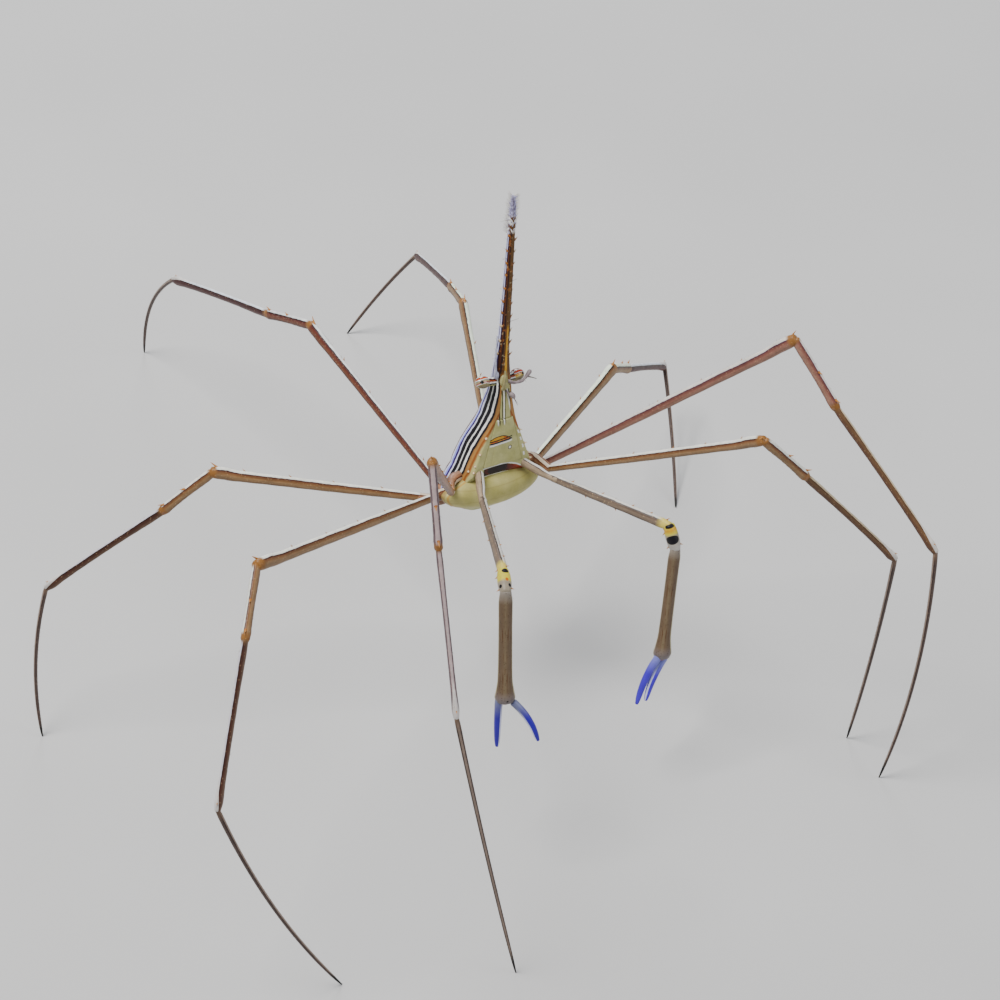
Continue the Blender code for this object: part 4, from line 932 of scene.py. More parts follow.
def build_rostrum():
    p = Piece("rostrum_spiny", 10, 60)
    ys = np.concatenate([np.linspace(16.0, 38.0, 150), np.linspace(38.1, ROSTRUM_END - 0.05, 36)])
    q = Q[::2]
    ring, paint, place = loft(ys, q)
    sway = 0.05 * waves(ys, 3, 4, 0.3, 1.2) * np.clip((ys - 18) / 6, 0, 1)
    ring = ring + np.stack([sway, np.zeros_like(ys), 0.6 * sway], -1)[:, None]
    tip = np.array([ring[-1, :, 0].mean(), ROSTRUM_END + 0.02, ring[-1, :, 2].mean()])
    ends = [tip + (ring[-1] - tip) * s for s in (0.6, 0.04)]
    rows = np.concatenate([ring, np.stack(ends)])
    paint = np.concatenate([paint, np.repeat(paint[-1:], 2, 0)])
    place = np.concatenate([place, np.repeat(place[-1:], 2, 0)])
    p.grid(on_body(rows), paint, (0.005, 0.005, 0.795, 0.995), True, 0, place)

    rng = np.random.default_rng(11)
    for s in (1, -1):
        count = 10
        for i in range(count):
            share = (i + (0.35 if s > 0 else 0.0)) / count
            y = 18.8 + 18.6 * share + rng.uniform(-0.25, 0.25)
            w = curve(HALF_WIDTH, [y])[0]
            z = 0.5 * (curve(BACK, [y])[0] + curve(FACE, [y])[0]) + rng.uniform(-0.12, 0.12) - 0.15
            way = np.array([s * 0.84, 0.54 + rng.uniform(-0.12, 0.15), rng.uniform(-0.30, 0.10)])
            p.spine(on_body([s * (w - 0.06), y, z]), way_body(way), rng.uniform(0.42, 0.66), 0.15,
                    1 if rng.random() < 0.5 else 3, lean=way_body([-s * 0.18, 0.22, 0]))
    # the crowded little spines and hairs of the tip
    for i in range(64):
        y = 36.9 + 4.9 * (i / 63)
        a = i * 2.4
        w = curve(HALF_WIDTH, [y])[0] * 0.86
        z = 0.5 * (curve(BACK, [y])[0] + curve(FACE, [y])[0])
        out = np.array([math.cos(a), 0.85, 0.7 * math.sin(a)])
        p.spine(on_body([w * math.cos(a), y, z + w * math.sin(a)]), way_body(out), rng.uniform(0.34, 0.66), 0.085, 4)
    for i in range(120):
        y = 36.5 + 5.4 * (i / 119)
        a = i * 2.1 + 0.6
        w = curve(HALF_WIDTH, [y])[0] * 0.85
        z = 0.5 * (curve(BACK, [y])[0] + curve(FACE, [y])[0])
        out = np.array([math.cos(a), 0.62, 0.7 * math.sin(a)])
        p.hair(on_body([w * math.cos(a), y, z + w * math.sin(a)]), way_body(out), rng.uniform(0.55, 1.0), 0.03)
    for i in range(40):
        y = 18.0 + 19.0 * (i / 39)
        a = i * 2.1 + 0.6
        w = curve(HALF_WIDTH, [y])[0] * 0.9
        z = 0.5 * (curve(BACK, [y])[0] + curve(FACE, [y])[0])
        out = np.array([math.cos(a), 0.55, 0.7 * math.sin(a)])
        p.hair(on_body([w * math.cos(a), y, z + w * math.sin(a)]), way_body(out), rng.uniform(0.3, 0.6), 0.022)
    for y, s, length in ((38.6, 1, 1.9), (23.4, -1, 1.6), (29.5, -1, 0.9), (33.0, 1, 0.9)):
        w = curve(HALF_WIDTH, [y])[0]
        p.hair(on_body([s * w * 0.9, y, -0.9]), way_body([s * 1.0, 0.15, -0.1]), length, 0.04)
    return p.finish([SHELL, SPINE, SETA, PALE_SPINE, WHITE_SPINE], ["rostrum"])


def face_patch(piece, x0, x1, y0, y1, rect, slot=0, lift=0.02, bulge=0.10, rows=60, cols=40, extra=None):
    """A pillowed plate on the face: x0 and x1 give its edges at y0 and at y1."""
    v = np.linspace(0, 1, rows)
    u = np.linspace(0, 1, cols)
    y = y0 + (y1 - y0) * v
    lo = x0[0] + (x0[1] - x0[0]) * v
    hi = x1[0] + (x1[1] - x1[0]) * v
    x = lo[:, None] + (hi - lo)[:, None] * u[None, :]
    yy = np.repeat(y[:, None], cols, 1)
    f, low = curve(FACE_WIDTH, y), curve(FACE, y)
    z = low[:, None] - 0.16 * np.minimum(1.0, f)[:, None] * (1 - np.clip(np.abs(x) / f[:, None], 0, 1) ** 2)
    width, height = (hi - lo)[:, None], (y1 - y0)
    du = np.minimum(u, 1 - u)[None, :] * width
    if abs(x0[0]) < 0.1:
        du = (1 - u)[None, :] * width
    elif abs(x1[0]) < 0.1:
        du = u[None, :] * width
    dv = np.minimum(v, 1 - v)[:, None] * height
    edge = np.minimum(du, dv)
    rise = np.sqrt(np.clip(1 - (1 - np.clip(edge / 0.12, 0, 1)) ** 2, 0, 1))
    z = z + 0.08 - (0.08 + lift) * rise - bulge * np.clip(du / width * 2, 0, 1) ** 0.7 * rise
    if extra is not None:
        z = z - extra(x, yy) * rise
    points = np.stack([x, yy, z], -1)
    q = 0.80 + 0.20 * (1 - np.clip(np.abs(x) / f[:, None], 0, 1))
    q = np.maximum(q, 0.87)
    paint = np.stack([q, np.ones_like(q)], -1)
    place = np.stack([x / 16 + 0.5, (yy + 6) / 50], -1)
    piece.grid(on_body(points[:, ::-1] if x1[0] > x0[0] else points), paint[:, ::-1] if x1[0] > x0[0] else paint,
               rect, False, slot, place[:, ::-1] if x1[0] > x0[0] else place)


def build_face():
    wide, narrow, low, high = PLATES["maxilliped"]
    for side, s in (("right", 1), ("left", -1)):
        p = Piece("maxilliped_plate_" + side)

        def ridge(x, y):
            """The cross joint between the plate's two articles, and its outer lobe."""
            joint = -0.03 * np.exp(-((y - 7.75 + 0.10 * np.abs(x)) / 0.12) ** 2)
            lobe = -0.05 * np.exp(-((np.abs(x) - 0.62 * np.interp(y, [low, high], [wide, narrow])) / 0.10) ** 2)
            palp = 0.06 * np.exp(-(((y - 7.9) / 0.5) ** 2 + ((np.abs(x) - 0.8) / 0.5) ** 2))
            return joint + lobe * (y < 6.0) + palp
        a, b = (0.0, 0.0), (wide * s, narrow * s)
        lo, hi = (a, b) if s > 0 else (b, a)
        face_patch(p, lo, hi, low, high, (0.01, 0.01, 0.79, 0.99), extra=ridge, rows=90, cols=50)
        rng = np.random.default_rng(20 + s)
        p.finish([SHELL, SETA], ["maxilliped_" + side])

    p = Piece("epistome_plate")
    wide, narrow, low, high = PLATES["epistome"]
    face_patch(p, (-wide, -narrow), (wide, narrow), low, high, (0.01, 0.01, 0.79, 0.99), rows=70, cols=40, bulge=0.05)
    # the swollen olive-cream lobe under the root of the rostrum
    p.blob(on_body([0.28, 15.35, -2.12]), way_body([[0.62, 0, 0], [0, 0.95, 0.1], [0, -0.05, 0.50]]), 1,
           (0.81, 0.80, 0.99, 0.99), 18, 26)
    p.finish([SHELL, plain_material("lobe_olive", pigment(140, 134, 88), pigment(170, 164, 116), 0.42, 0.06, 700.0)],
             ["epistome"])

    p = Piece("sternum_plate")
    wide, narrow, low, high = PLATES["sternum"]

    def grooves(x, y):
        cut = np.zeros_like(x)
        for y0 in (-1.6, 0.1, 1.5):
            cut += -0.06 * np.exp(-((y - y0 - 0.10 * np.abs(x)) / 0.12) ** 2) * (np.abs(x) > 1.2)
        return cut
    face_patch(p, (-wide, -wide), (wide, wide), low, high, (0.01, 0.01, 0.79, 0.99), extra=grooves, rows=60, cols=60,
               bulge=0.0)
    p.finish([SHELL], ["sternum"])


def build_abdomen():
    """The broad smooth dome folded under the body."""
    p = Piece("abdomen_dome", 10, 60)
    centre, rad = np.array(ABDOMEN_CENTRE), np.array(ABDOMEN_RADII)
    lat = np.concatenate([np.linspace(0.155, 1.2, 56), np.linspace(1.22, math.pi / 2 - 0.01, 16)])
    lon = np.arange(128) / 128 * 2 * math.pi
    c, s = np.cos(lat)[:, None], np.sin(lat)[:, None]
    # the front margin is a pointed arc
    ux, uy = c * np.cos(lon)[None, :], c * np.sin(lon)[None, :]
    narrow = ((1 - np.minimum(np.abs(ux), 0.9995) ** ABDOMEN_FRONT) ** (1 / ABDOMEN_FRONT)
              / np.sqrt(1 - np.minimum(np.abs(ux), 0.9995) ** 2))
    uy = np.where(uy > 0, uy * narrow, uy)
    x = centre[0] + rad[0] * ux * 0.998
    y = centre[1] + rad[1] * uy * 0.998
    z = centre[2] - rad[2] * s * np.ones_like(ux) + 0.0 * x
    rim = np.stack([x[:1], y[:1], z[:1] + 0.45], -1)
    inner = rim[0].copy()
    inner[:, 0] = centre[0] + (inner[:, 0] - centre[0]) * 0.93
    inner[:, 1] = centre[1] + (inner[:, 1] - centre[1]) * 0.86
    pts = np.concatenate([inner[None], rim, np.stack([x, y, z], -1)])
    # markings follow the rim
    v = np.concatenate([np.ones((2, 128)), np.repeat(np.clip(1.0 - (lat[:, None] - 0.155) / 1.2, 0, 1), 128, 1)])
    v = np.concatenate([v, v[:, :1]], 1)
    u = np.repeat((np.arange(129) / 128)[None, :], len(pts), 0)
    px = np.concatenate([pts[..., 0], pts[:, :1, 0]], 1) / 16 + 0.5
    py = (np.concatenate([pts[..., 1], pts[:, :1, 1]], 1) + 6) / 50
    p.grid(on_body(pts)[:, ::-1], np.stack([u, v], -1)[:, ::-1], (0.01, 0.01, 0.79, 0.99), True, 0,
           np.stack([px, py], -1)[:, ::-1])
    return p.finish([BELLY], ["abdomen"])


# ------------------------------------------------------------------ head
GREY_DOTTED = pigment(116, 106, 84)
EYE_WHITE = pigment(204, 202, 192)
EYE = {
    "right": eye_material("crab_eye_right", [
        (0.00, GREY_DOTTED), (0.25, pigment(138, 124, 84)), (0.275, EYE_WHITE), (0.32, EYE_WHITE), (0.335, pigment(168, 60, 30)),
        (0.385, pigment(160, 56, 30)), (0.40, pigment(118, 118, 120)), (0.48, pigment(166, 146, 84)),
        (0.555, pigment(126, 130, 140)), (0.565, DARK), (0.585, DARK), (0.595, EYE_WHITE), (0.66, EYE_WHITE), (0.67, DARK),
        (0.69, pigment(160, 62, 30)), (0.77, pigment(176, 88, 36)), (0.80, pigment(140, 48, 28)), (0.82, DARK),
        (0.855, DARK), (0.865, EYE_WHITE), (0.925, EYE_WHITE), (0.94, DARK), (1.00, pigment(104, 48, 36))]),
    "left": eye_material("crab_eye_left", [
        (0.00, GREY_DOTTED), (0.28, pigment(146, 134, 100)), (0.30, pigment(190, 172, 92)), (0.36, pigment(196, 176, 84)),
        (0.375, pigment(150, 52, 30)), (0.41, pigment(150, 52, 30)), (0.425, pigment(194, 170, 88)), (0.47, pigment(188, 160, 80)),
        (0.485, pigment(158, 50, 28)), (0.53, DARK), (0.54, EYE_WHITE), (0.585, EYE_WHITE), (0.60, pigment(150, 44, 26)),
        (0.72, pigment(180, 72, 38)), (0.76, pigment(140, 44, 28)), (0.775, EYE_WHITE), (0.835, EYE_WHITE), (0.85, DARK),
        (0.88, pigment(134, 60, 40)), (1.00, pigment(110, 56, 40))]),
}


def build_head():
    for side, s in (("right", 1), ("left", -1)):
        place = np.array(EYE_PLACE[side])
        turn = math.radians(EYE_TURN[side])
        p = Piece("eye_ball_" + side, 4, 8)
        ax = np.array([math.cos(turn), math.sin(turn), 0])
        ay = np.array([-math.sin(turn), math.cos(turn), 0])
        az = np.array([0, 0, 1.0])
        out = ax * s

        def stripes(q):
            """Stripe height: 0 low and towards the belly, 1 in front and towards the back."""
            h = 0.5 + 0.5 * (0.74 * q[..., 1] + 0.67 * q[..., 2] + 0.10 * (np.abs(q[..., 0]) - 0.4))
            v = np.concatenate([h, h[:, :1]], 1)
            u = np.repeat((np.arange(v.shape[1]) / (v.shape[1] - 1))[None, :], v.shape[0], 0)
            return np.stack([u, np.clip(v, 0, 1)], -1)
        p.blob(on_body(place), way_body([out * 1.12, ay * 0.86, az * 0.88]), 0, (0.01, 0.30, 0.79, 0.99), 34, 56,
               stripes)
        # stalk, ringed where the eye sits on it
        inner = np.array([s * 0.9, 15.05, -1.25])
        t = np.linspace(0, 1, 26)
        path = inner + (place - out * 0.35 - inner) * t[:, None]
        radii = 0.56 + 0.10 * t + 0.05 * np.exp(-((t - 0.72) / 0.07) ** 2) - 0.05 * np.exp(-((t - 0.45) / 0.1) ** 2)
        p.tube(on_body(path), radii, way_body([0, 1.0, 0.2]), 28, 1, (0.01, 0.01, 0.79, 0.27), domes=(None, 0.3))
        # the black spot on the outer face of the eye
        look = np.array([0.546 * s, 0.485, -0.683])
        spot = place + (out * 1.12 * np.dot(look, out) + ay * 0.86 * np.dot(look, ay) + az * 0.88 * look[2]) * 0.94
        flat = unit(np.cross(look, [0, 1.0, 0]))
        p.blob(on_body(spot), way_body([flat * 0.30, np.cross(look, flat) * 0.23, look * 0.10]), 2, (0.81, 0.01, 0.99, 0.2),
               12, 18)
        stalk = limb_material("eye_stalk_" + side, [(0.0, BLACK), (0.06, WHITE), (0.16, WHITE), (0.20, BLACK), (0.27, BLACK),
                                                    (0.31, RED_BROWN), (0.42, RED_BROWN), (0.45, WHITE),
                                                    (0.53, WHITE), (0.57, BLACK), (0.63, DARK), (0.70, CREAM), (1.0, CREAM)],
                              speck=0.0, mottle=0.12)
        p.finish([EYE[side], stalk, plain_material("eye_spot_" + side, (0.004, 0.004, 0.005), (0.012, 0.010, 0.010), 0.1,
                                                   0.5)], ["eye_" + side])

    # antennae: the right one lies along the rostrum, the left one is held out beside the eye
    p = Piece("antenna_folded_right", 4, 30)
    path = curve([(0, 1.42, 16.3, -1.75), (0.3, 1.48, 18.0, -1.6), (0.65, 1.40, 19.8, -1.4), (1.0, 1.28, 21.9, -1.2)],
                 np.linspace(0, 1, 40))
    t = np.linspace(0, 1, 40)
    p.tube(on_body(path), 0.24 - 0.17 * t ** 0.7, way_body([1, 0, 0]), 12, 0, domes=(0.4, 0.8))
    p.blob(on_body([1.25, 16.2, -1.7]), way_body([[0.36, 0, 0], [0, 0.60, 0], [0, 0, 0.36]]), 0, None, 12, 16)
    for i in range(7):
        k = 6 + 5 * i
        p.hair(on_body(path[k]), way_body([0.9, 0.6, 0.1]), 0.40, 0.022, 1)
    p.finish([PALE_FEELER, SETA], ["antenna_right"])

    p = Piece("antenna_spread_left", 4, 40)
    path = curve([(0, -0.30, 15.35, -2.45), (0.22, -1.26, 14.92, -2.60), (0.50, -2.57, 14.80, -2.45), (0.72, -3.35, 15.25, -2.35),
                  (1.0, -4.05, 15.90, -2.2)], np.linspace(0, 1, 60))
    t = np.linspace(0, 1, 60)
    radii = curve([(0, 0.30), (0.20, 0.26), (0.30, 0.22), (0.36, 0.27), (0.55, 0.25), (0.60, 0.19), (0.66, 0.24), (0.85, 0.34),
                   (0.95, 0.36), (1.0, 0.28)], t)
    p.tube(on_body(path), radii, way_body([0, 0.3, -1]), 16, 0, squash=0.8)
    bristle = np.array([[-3.35, 15.30, -2.45], [-4.0, 15.12, -2.65], [-4.75, 14.80, -2.85]])
    p.tube(on_body(curve([(0, *bristle[0]), (0.5, *bristle[1]), (1.0, *bristle[2])], np.linspace(0, 1, 16))),
           np.linspace(0.12, 0.05, 16), way_body([0, 0, 1]), 8, 2, p.cell())
    rng = np.random.default_rng(31)
    for i in range(9):
        k = 30 + 3 * i
        a = i * 1.9
        p.hair(on_body(path[k]), way_body([-0.4, math.cos(a), math.sin(a)]), rng.uniform(0.35, 0.7), 0.022, 1)
    p.finish([FEELER, SETA, plain_material("bristle", (0.10, 0.08, 0.07), (0.24, 0.20, 0.17))],
             ["antenna_left"])

    # antennules
    p = Piece("antennule_short_right", 4, 30)
    path = curve([(0, 0.55, 14.3, -2.45), (0.35, 0.58, 15.0, -2.72), (0.7, 0.50, 15.9, -2.70), (1.0, 0.42, 17.0, -2.45)],
                 np.linspace(0, 1, 40))
    t = np.linspace(0, 1, 40)
    p.tube(on_body(path), 0.30 - 0.20 * t, way_body([0, 0, -1]), 14, 0)
    for i in range(6):
        p.hair(on_body(path[14 + 4 * i]), way_body([0.5 * (-1) ** i, 0.8, -0.4]), 0.35, 0.02, 1)
    p.finish([OLIVE, SETA], ["antennule_right"])

    p = Piece("antennule_out_left", 4, 30)
    path = curve([(0, 0.10, 14.1, -2.60), (0.25, -0.15, 13.74, -2.90), (0.5, -0.52, 13.55, -3.15), (0.62, -0.70, 13.25, -3.25),
                  (0.75, -0.95, 12.8, -3.3), (1.0, -1.45, 11.85, -3.4)], np.linspace(0, 1, 60))
    radii = curve([(0, 0.14), (0.2, 0.16), (0.30, 0.20), (0.36, 0.42), (0.58, 0.44), (0.66, 0.30), (0.72, 0.10), (1.0, 0.04)],
                  np.linspace(0, 1, 60))
    p.tube(on_body(path), radii, way_body([0, 0.2, -1]), 16, 0, squash=0.75)
    p.hair(on_body([-0.75, 13.1, -3.3]), way_body([-0.55, -0.75, -0.15]), 1.5, 0.035, 1)
    p.hair(on_body([-0.15, 13.9, -3.0]), way_body([-0.5, -0.6, -0.3]), 0.9, 0.04, 1)
    p.finish([FEELER, SETA], ["antennule_left"])


# ------------------------------------------------------------------ limbs
VIEW = direction(-125.0, 42.0)          # the side of the crab that the photo shows
PSI, DOWN = math.radians(35.0), math.radians(42.0)
ABOVE = np.array((math.sin(PSI) * math.sin(DOWN), math.cos(PSI) * math.sin(DOWN), math.cos(DOWN)))
ASIDE = np.array((math.cos(PSI), -math.sin(PSI), 0.0))


def marking_line(u, lean=52.0, toward=None):
    """Direction of a limb's pale line: lean degrees from the shown side, upwards. The line is partly the limb's own
    pale stripe and partly a painted highlight along its lit upper edge.
    """
    v = unit(VIEW - u * np.dot(VIEW, u))
    s = np.cross(u, v)
    if np.dot(s, ABOVE if toward is None else toward) < 0:
        s = -s
    a = math.radians(lean)
    return v * math.cos(a) + s * math.sin(a)


def through(points, radii, count):
    """A smooth line and its radii through the given points."""
    points = np.asarray(points, float)
    run = np.concatenate([[0], np.cumsum(np.linalg.norm(np.diff(points, axis=0), axis=1))])
    run = run / run[-1]
    t = np.linspace(0, 1, count)
    return curve([(a, *b) for a, b in zip(run, points)], t), curve(list(zip(run, radii)), t)


def build_leg(number, side):
    label = "leg%d_%s_" % (number, side)
    seed = number * 10 + (1 if side == "right" else 2)
    rng = np.random.default_rng(seed)
    s = 1 if side == "right" else -1
    ratio, w1, w2, w3, last_az = LEG_STANCE[(number, side)]
    L1, L2, L3, L4 = LEG_LENGTHS[number]
    L2, L3, L4 = ratio * L2, ratio * L3, ratio * L4
    r1, r2, r3, r4 = LEG_RADII[number]
    bx, by, bz = LEG_BASE[number]
    base = on_body([s * bx, by, bz])
    knee = base + direction(*w1) * L1
    ankle = knee + direction(*w2) * L2
    wrist = ankle + direction(*w3) * L3
    fall = math.degrees(math.asin(min(1.0, wrist[2] / L4)))
    toe = wrist + direction(last_az, -fall) * L4
    u1, u2, u3, u4 = unit(knee - base), unit(ankle - knee), unit(wrist - ankle), unit(toe - wrist)
    d1, d2, d3 = (unit(np.array([0, 0, 1.0]) - u * u[2]) for u in (u1, u2, u3))
    up_side = unit(u1 - u2)
    frontal = (number, side) == (1, "right")
    line1 = marking_line(u1, 128.0 if frontal else 52.0)
    line2, line3, line4 = (marking_line(u, 0.0 if frontal else 52.0) for u in (u2, u3, u4))
    look, shin = LEG_LOOK[(number, side)]
    main = limb_material(label + "striped", look, end=(0.025, ORANGE_BROWN))
    wrist_look = limb_material(label + "carpus_striped", shin if frontal else look, start=(0.06, ORANGE_BROWN), end=(0.10, ORANGE_BROWN))
    shin_look = limb_material(label + "shin_striped", shin, start=(0.03, pigment(120, 92, 66)), tip=(0.24, pigment(206, 202, 198)))

    # merus, with coxa and ischium at its root
    p = Piece(label + "merus_shell", 10, 60)
    if number in LEG_ELBOW:
        inside, elbow = (on_body([s * v[0], v[1], v[2]]) for v in LEG_ELBOW[number])
        first, last = inside + (elbow - inside) * 0.6, base + u1 * 3.2
        bend = [(first + (elbow - first) * t) * (1 - t) + (elbow + (last - elbow) * t) * t for t in (0.35, 0.7)]
        points, girth = [inside, first] + bend + [last], (COXA_RADIUS, COXA_RADIUS, 0.70, 0.60, 0.52)
    else:
        inside = on_body([s * (bx - 2.6), by + 0.2, bz - 0.1])
        points, girth = [inside, base - u1 * 0.2, base + u1 * 1.2, base + u1 * 2.8], (COXA_RADIUS, COXA_RADIUS, 0.62, 0.53)
    coxa, girth = through(points, girth, 44)
    t = np.linspace(0, 1, 44)
    rings = 0.05 * np.exp(-((t - 0.55) / 0.05) ** 2) + 0.05 * np.exp(-((t - 0.97) / 0.05) ** 2) - 0.05 * np.exp(
        -((t - 0.64) / 0.03) ** 2)
    p.tube(coxa, girth + rings, d1, 20, 4, (0.81, 0.80, 0.99, 0.995), line=marking_line(u1))
    count = 150
    t = np.linspace(2.7 / L1, 1.0, count)
    radii = r1 * curve([(0, 0.78), (0.08, 0.80), (0.16, 0.84), (0.34, 0.94), (0.52, 1.0), (0.70, 1.03), (0.86, 1.08),
                        (0.94, 1.20), (0.975, 1.22), (1.0, 1.06)], t)
    sag = unit(np.cross(u1, d1))
    wave = 0.06 * waves(t * 10, seed, 3, 0.4, 1.0) * np.sin(t * math.pi)
    path = base + u1 * (t * L1)[:, None] + d1 * wave[:, None] + sag * (0.6 * wave[::-1])[:, None]
    path = path + d1 * (0.22 * r1 * np.clip((t - 0.88) / 0.06, 0, 1) ** 2)[:, None]
    angular = lambda a, ang: 0.04 * np.cos(3 * ang) + 0.015 * np.sin(a * 55 + 2 * ang)
    p.tube(path, radii, d1, 28, 0, (0.01, 0.01, 0.79, 0.99), domes=(0.4, 0.45), bumps=angular, squash=0.94, line=line1)
    # knee: the amber spine above and the lips that hold the joint
    crown = knee - u1 * 1.25 + up_side * r1 * 0.90
    p.spine(crown, up_side + u1 * 0.84, 1.55, 0.26, 1, lean=u1 * 0.10, around=12)
    for k in (1, -1):
        p.blob(knee - u1 * 0.42 + sag * (k * r1 * 0.84), np.array([u1 * 0.34, d1 * 0.26, sag * 0.14]), 2, None, 10, 14)
    # fine spines in a row by the pale line, hairs here and there
    ridge = marking_line(u1, 74.0)
    at = 6.0 + rng.uniform(0, 2)
    while at < L1 - 3.0:
        k = int(np.argmin(np.abs(t * L1 - at)))
        tilt = sag * rng.uniform(-0.15, 0.15)
        p.spine(path[k] + ridge * radii[k] * 0.93, ridge + u1 * 1.0 + tilt, rng.uniform(0.36, 0.52), 0.095, 1)
        at += 7.0 * rng.uniform(0.8, 1.15)
    for i in range(26):
        k = rng.integers(6, count - 4)
        a = rng.uniform(0, 2 * math.pi)
        out = d1 * math.cos(a) + sag * math.sin(a)
        p.hair(path[k] + out * radii[k] * 0.96, out + u1 * 0.9, rng.uniform(0.22, 0.42), 0.02, 3)
    p.finish([main, SPINE, JOINT, SETA, COXA], [label + "merus"])

    # carpus
    p = Piece(label + "carpus_shell", 8, 30)
    t = np.linspace(0, 1, 70)
    radii = r2 * curve([(0, 0.98), (0.16, 1.07), (0.5, 1.0), (0.82, 1.06), (0.90, 1.14), (0.96, 1.08), (1.0, 0.92)], t)
    path = knee + u2 * (L2 * t)[:, None] + d2 * (0.08 * np.sin(t * math.pi))[:, None]
    p.tube(path, radii, d2, 26, 0, domes=(0.4, 0.4), bumps=angular, squash=CARPUS_THICKNESS, line=line2)
    side2 = np.cross(u2, d2)
    for share, size in ((0.50, 0.62), (0.90, 0.82)):
        k = int(share * 69)
        p.spine(path[k] + d2 * radii[k] * 0.88, d2 + u2 * 0.8, size, 0.18, 1, lean=u2 * 0.1, around=10)
    for k in (1, -1):
        p.blob(ankle - u2 * 0.30 + side2 * (k * r2 * 0.62), np.array([u2 * 0.36, d2 * 0.34, side2 * 0.18]), 2, None, 10, 14)
    p.blob(knee + u2 * 0.55 + line2 * r2 * 0.62 * CARPUS_THICKNESS, np.array([u2 * 0.20, np.cross(u2, line2) * 0.16, line2 * 0.16]),
           4, None, 8, 12)
    for i in range(10):
        k = rng.integers(4, 66)
        a = rng.uniform(0, 2 * math.pi)
        out = d2 * math.cos(a) + side2 * math.sin(a) * CARPUS_THICKNESS
        p.hair(path[k] + out * radii[k] * 0.96, out + u2 * 0.8, rng.uniform(0.22, 0.42), 0.02, 3)
    p.finish([wrist_look, SPINE, JOINT, SETA, plain_material(label + "pit", pigment(60, 34, 24), pigment(96, 56, 38))],
             [label + "carpus"])

    # propodus, its upper side near the wrist washed pale: partly pale shell, partly a painted highlight
    p = Piece(label + "propodus_shell", 8, 30)
    t = np.linspace(0, 1, 90)
    radii = r3 * curve([(0, 0.96), (0.08, 1.06), (0.35, 0.94), (0.7, 0.96), (0.87, 1.06), (0.95, 1.22), (1.0, 0.90)], t)
    side3 = np.cross(u3, d3)
    path = ankle + u3 * (L3 * t)[:, None] + d3 * (0.006 * L3 * np.sin(t * math.pi))[:, None]
    p.tube(path, radii, d3, 24, 0, domes=(0.4, 0.4), bumps=angular, squash=PROPODUS_THICKNESS, line=line3)
    p.spine(path[85] + d3 * radii[85] * 0.9, d3 + u3 * 0.9, 0.42, 0.11, 1)
    for i in range(16):
        k = rng.integers(4, 86)
        a = rng.uniform(0, 2 * math.pi)
        out = d3 * math.cos(a) + side3 * math.sin(a) * PROPODUS_THICKNESS
        p.hair(path[k] + out * radii[k] * 0.96, out + u3 * 1.0, rng.uniform(0.2, 0.4), 0.018, 3)
    p.finish([shin_look, SPINE, JOINT, SETA], [label + "propodus"])

    # dactylus: slender, bowed, sharp, with a row of tiny teeth inside
    p = Piece(label + "dactylus_shell", 10, 30)
    outward = unit(u3 - u4 * np.dot(u3, u4))
    t = np.linspace(0, 1, 110)
    bow = outward * (DACTYL_BOW[(number, side)] * L4 * 4 * t * (1 - t))[:, None]
    path = wrist + (toe - wrist) * t[:, None] + bow
    shrink = r4 + (DACTYL_TIP_RADIUS - r4) * np.clip((t - 0.1) / 0.8, 0, 1) ** 0.7
    radii = shrink * curve([(0, 0.92), (0.03, 1.05), (0.10, 1.0), (0.80, 0.97), (0.93, 0.78), (0.98, 0.55), (1.0, 0.35)], t)
    path[:, 2] = np.maximum(path[:, 2], 0.6 * radii)
    path[:, 2] = np.maximum(path[:, 2], radii + 0.01)
    side4 = np.cross(u4, outward)
    p.tube(path, radii, outward, 18, 0, domes=(0.4, 0.9), line=line4)
    for i in range(30):
        share = 0.25 + 0.70 * i / 29
        k = int(share * 109)
        p.spine(path[k] - outward * radii[k] * 0.85, -outward * 0.8 + u4 * 0.8 + side4 * 0.25 * (-1) ** i, 0.20, 0.04, 1, around=5)
    for i in range(16):
        k = rng.integers(3, 104)
        a = rng.uniform(0, 2 * math.pi)
        out = outward * math.cos(a) + side4 * math.sin(a)
        if path[k][2] > 1.5:
            p.hair(path[k] + out * radii[k] * 0.95, out + u4 * 0.9, rng.uniform(0.18, 0.36), 0.018, 2)
    p.finish([DACTYL, DARK_TOOTH, SETA], [label + "dactylus"])


COXA = limb_material("leg_coxa", striped((206, 190, 168), (84, 50, 36), ((146, 96, 62), (158, 110, 76), (150, 108, 82), (126, 88, 72),
                                                                        (108, 76, 66)), 0.11), mottle=0.22)
DARK_TOOTH = spine_material("leg_tooth", pigment(80, 66, 58), pigment(120, 104, 92))


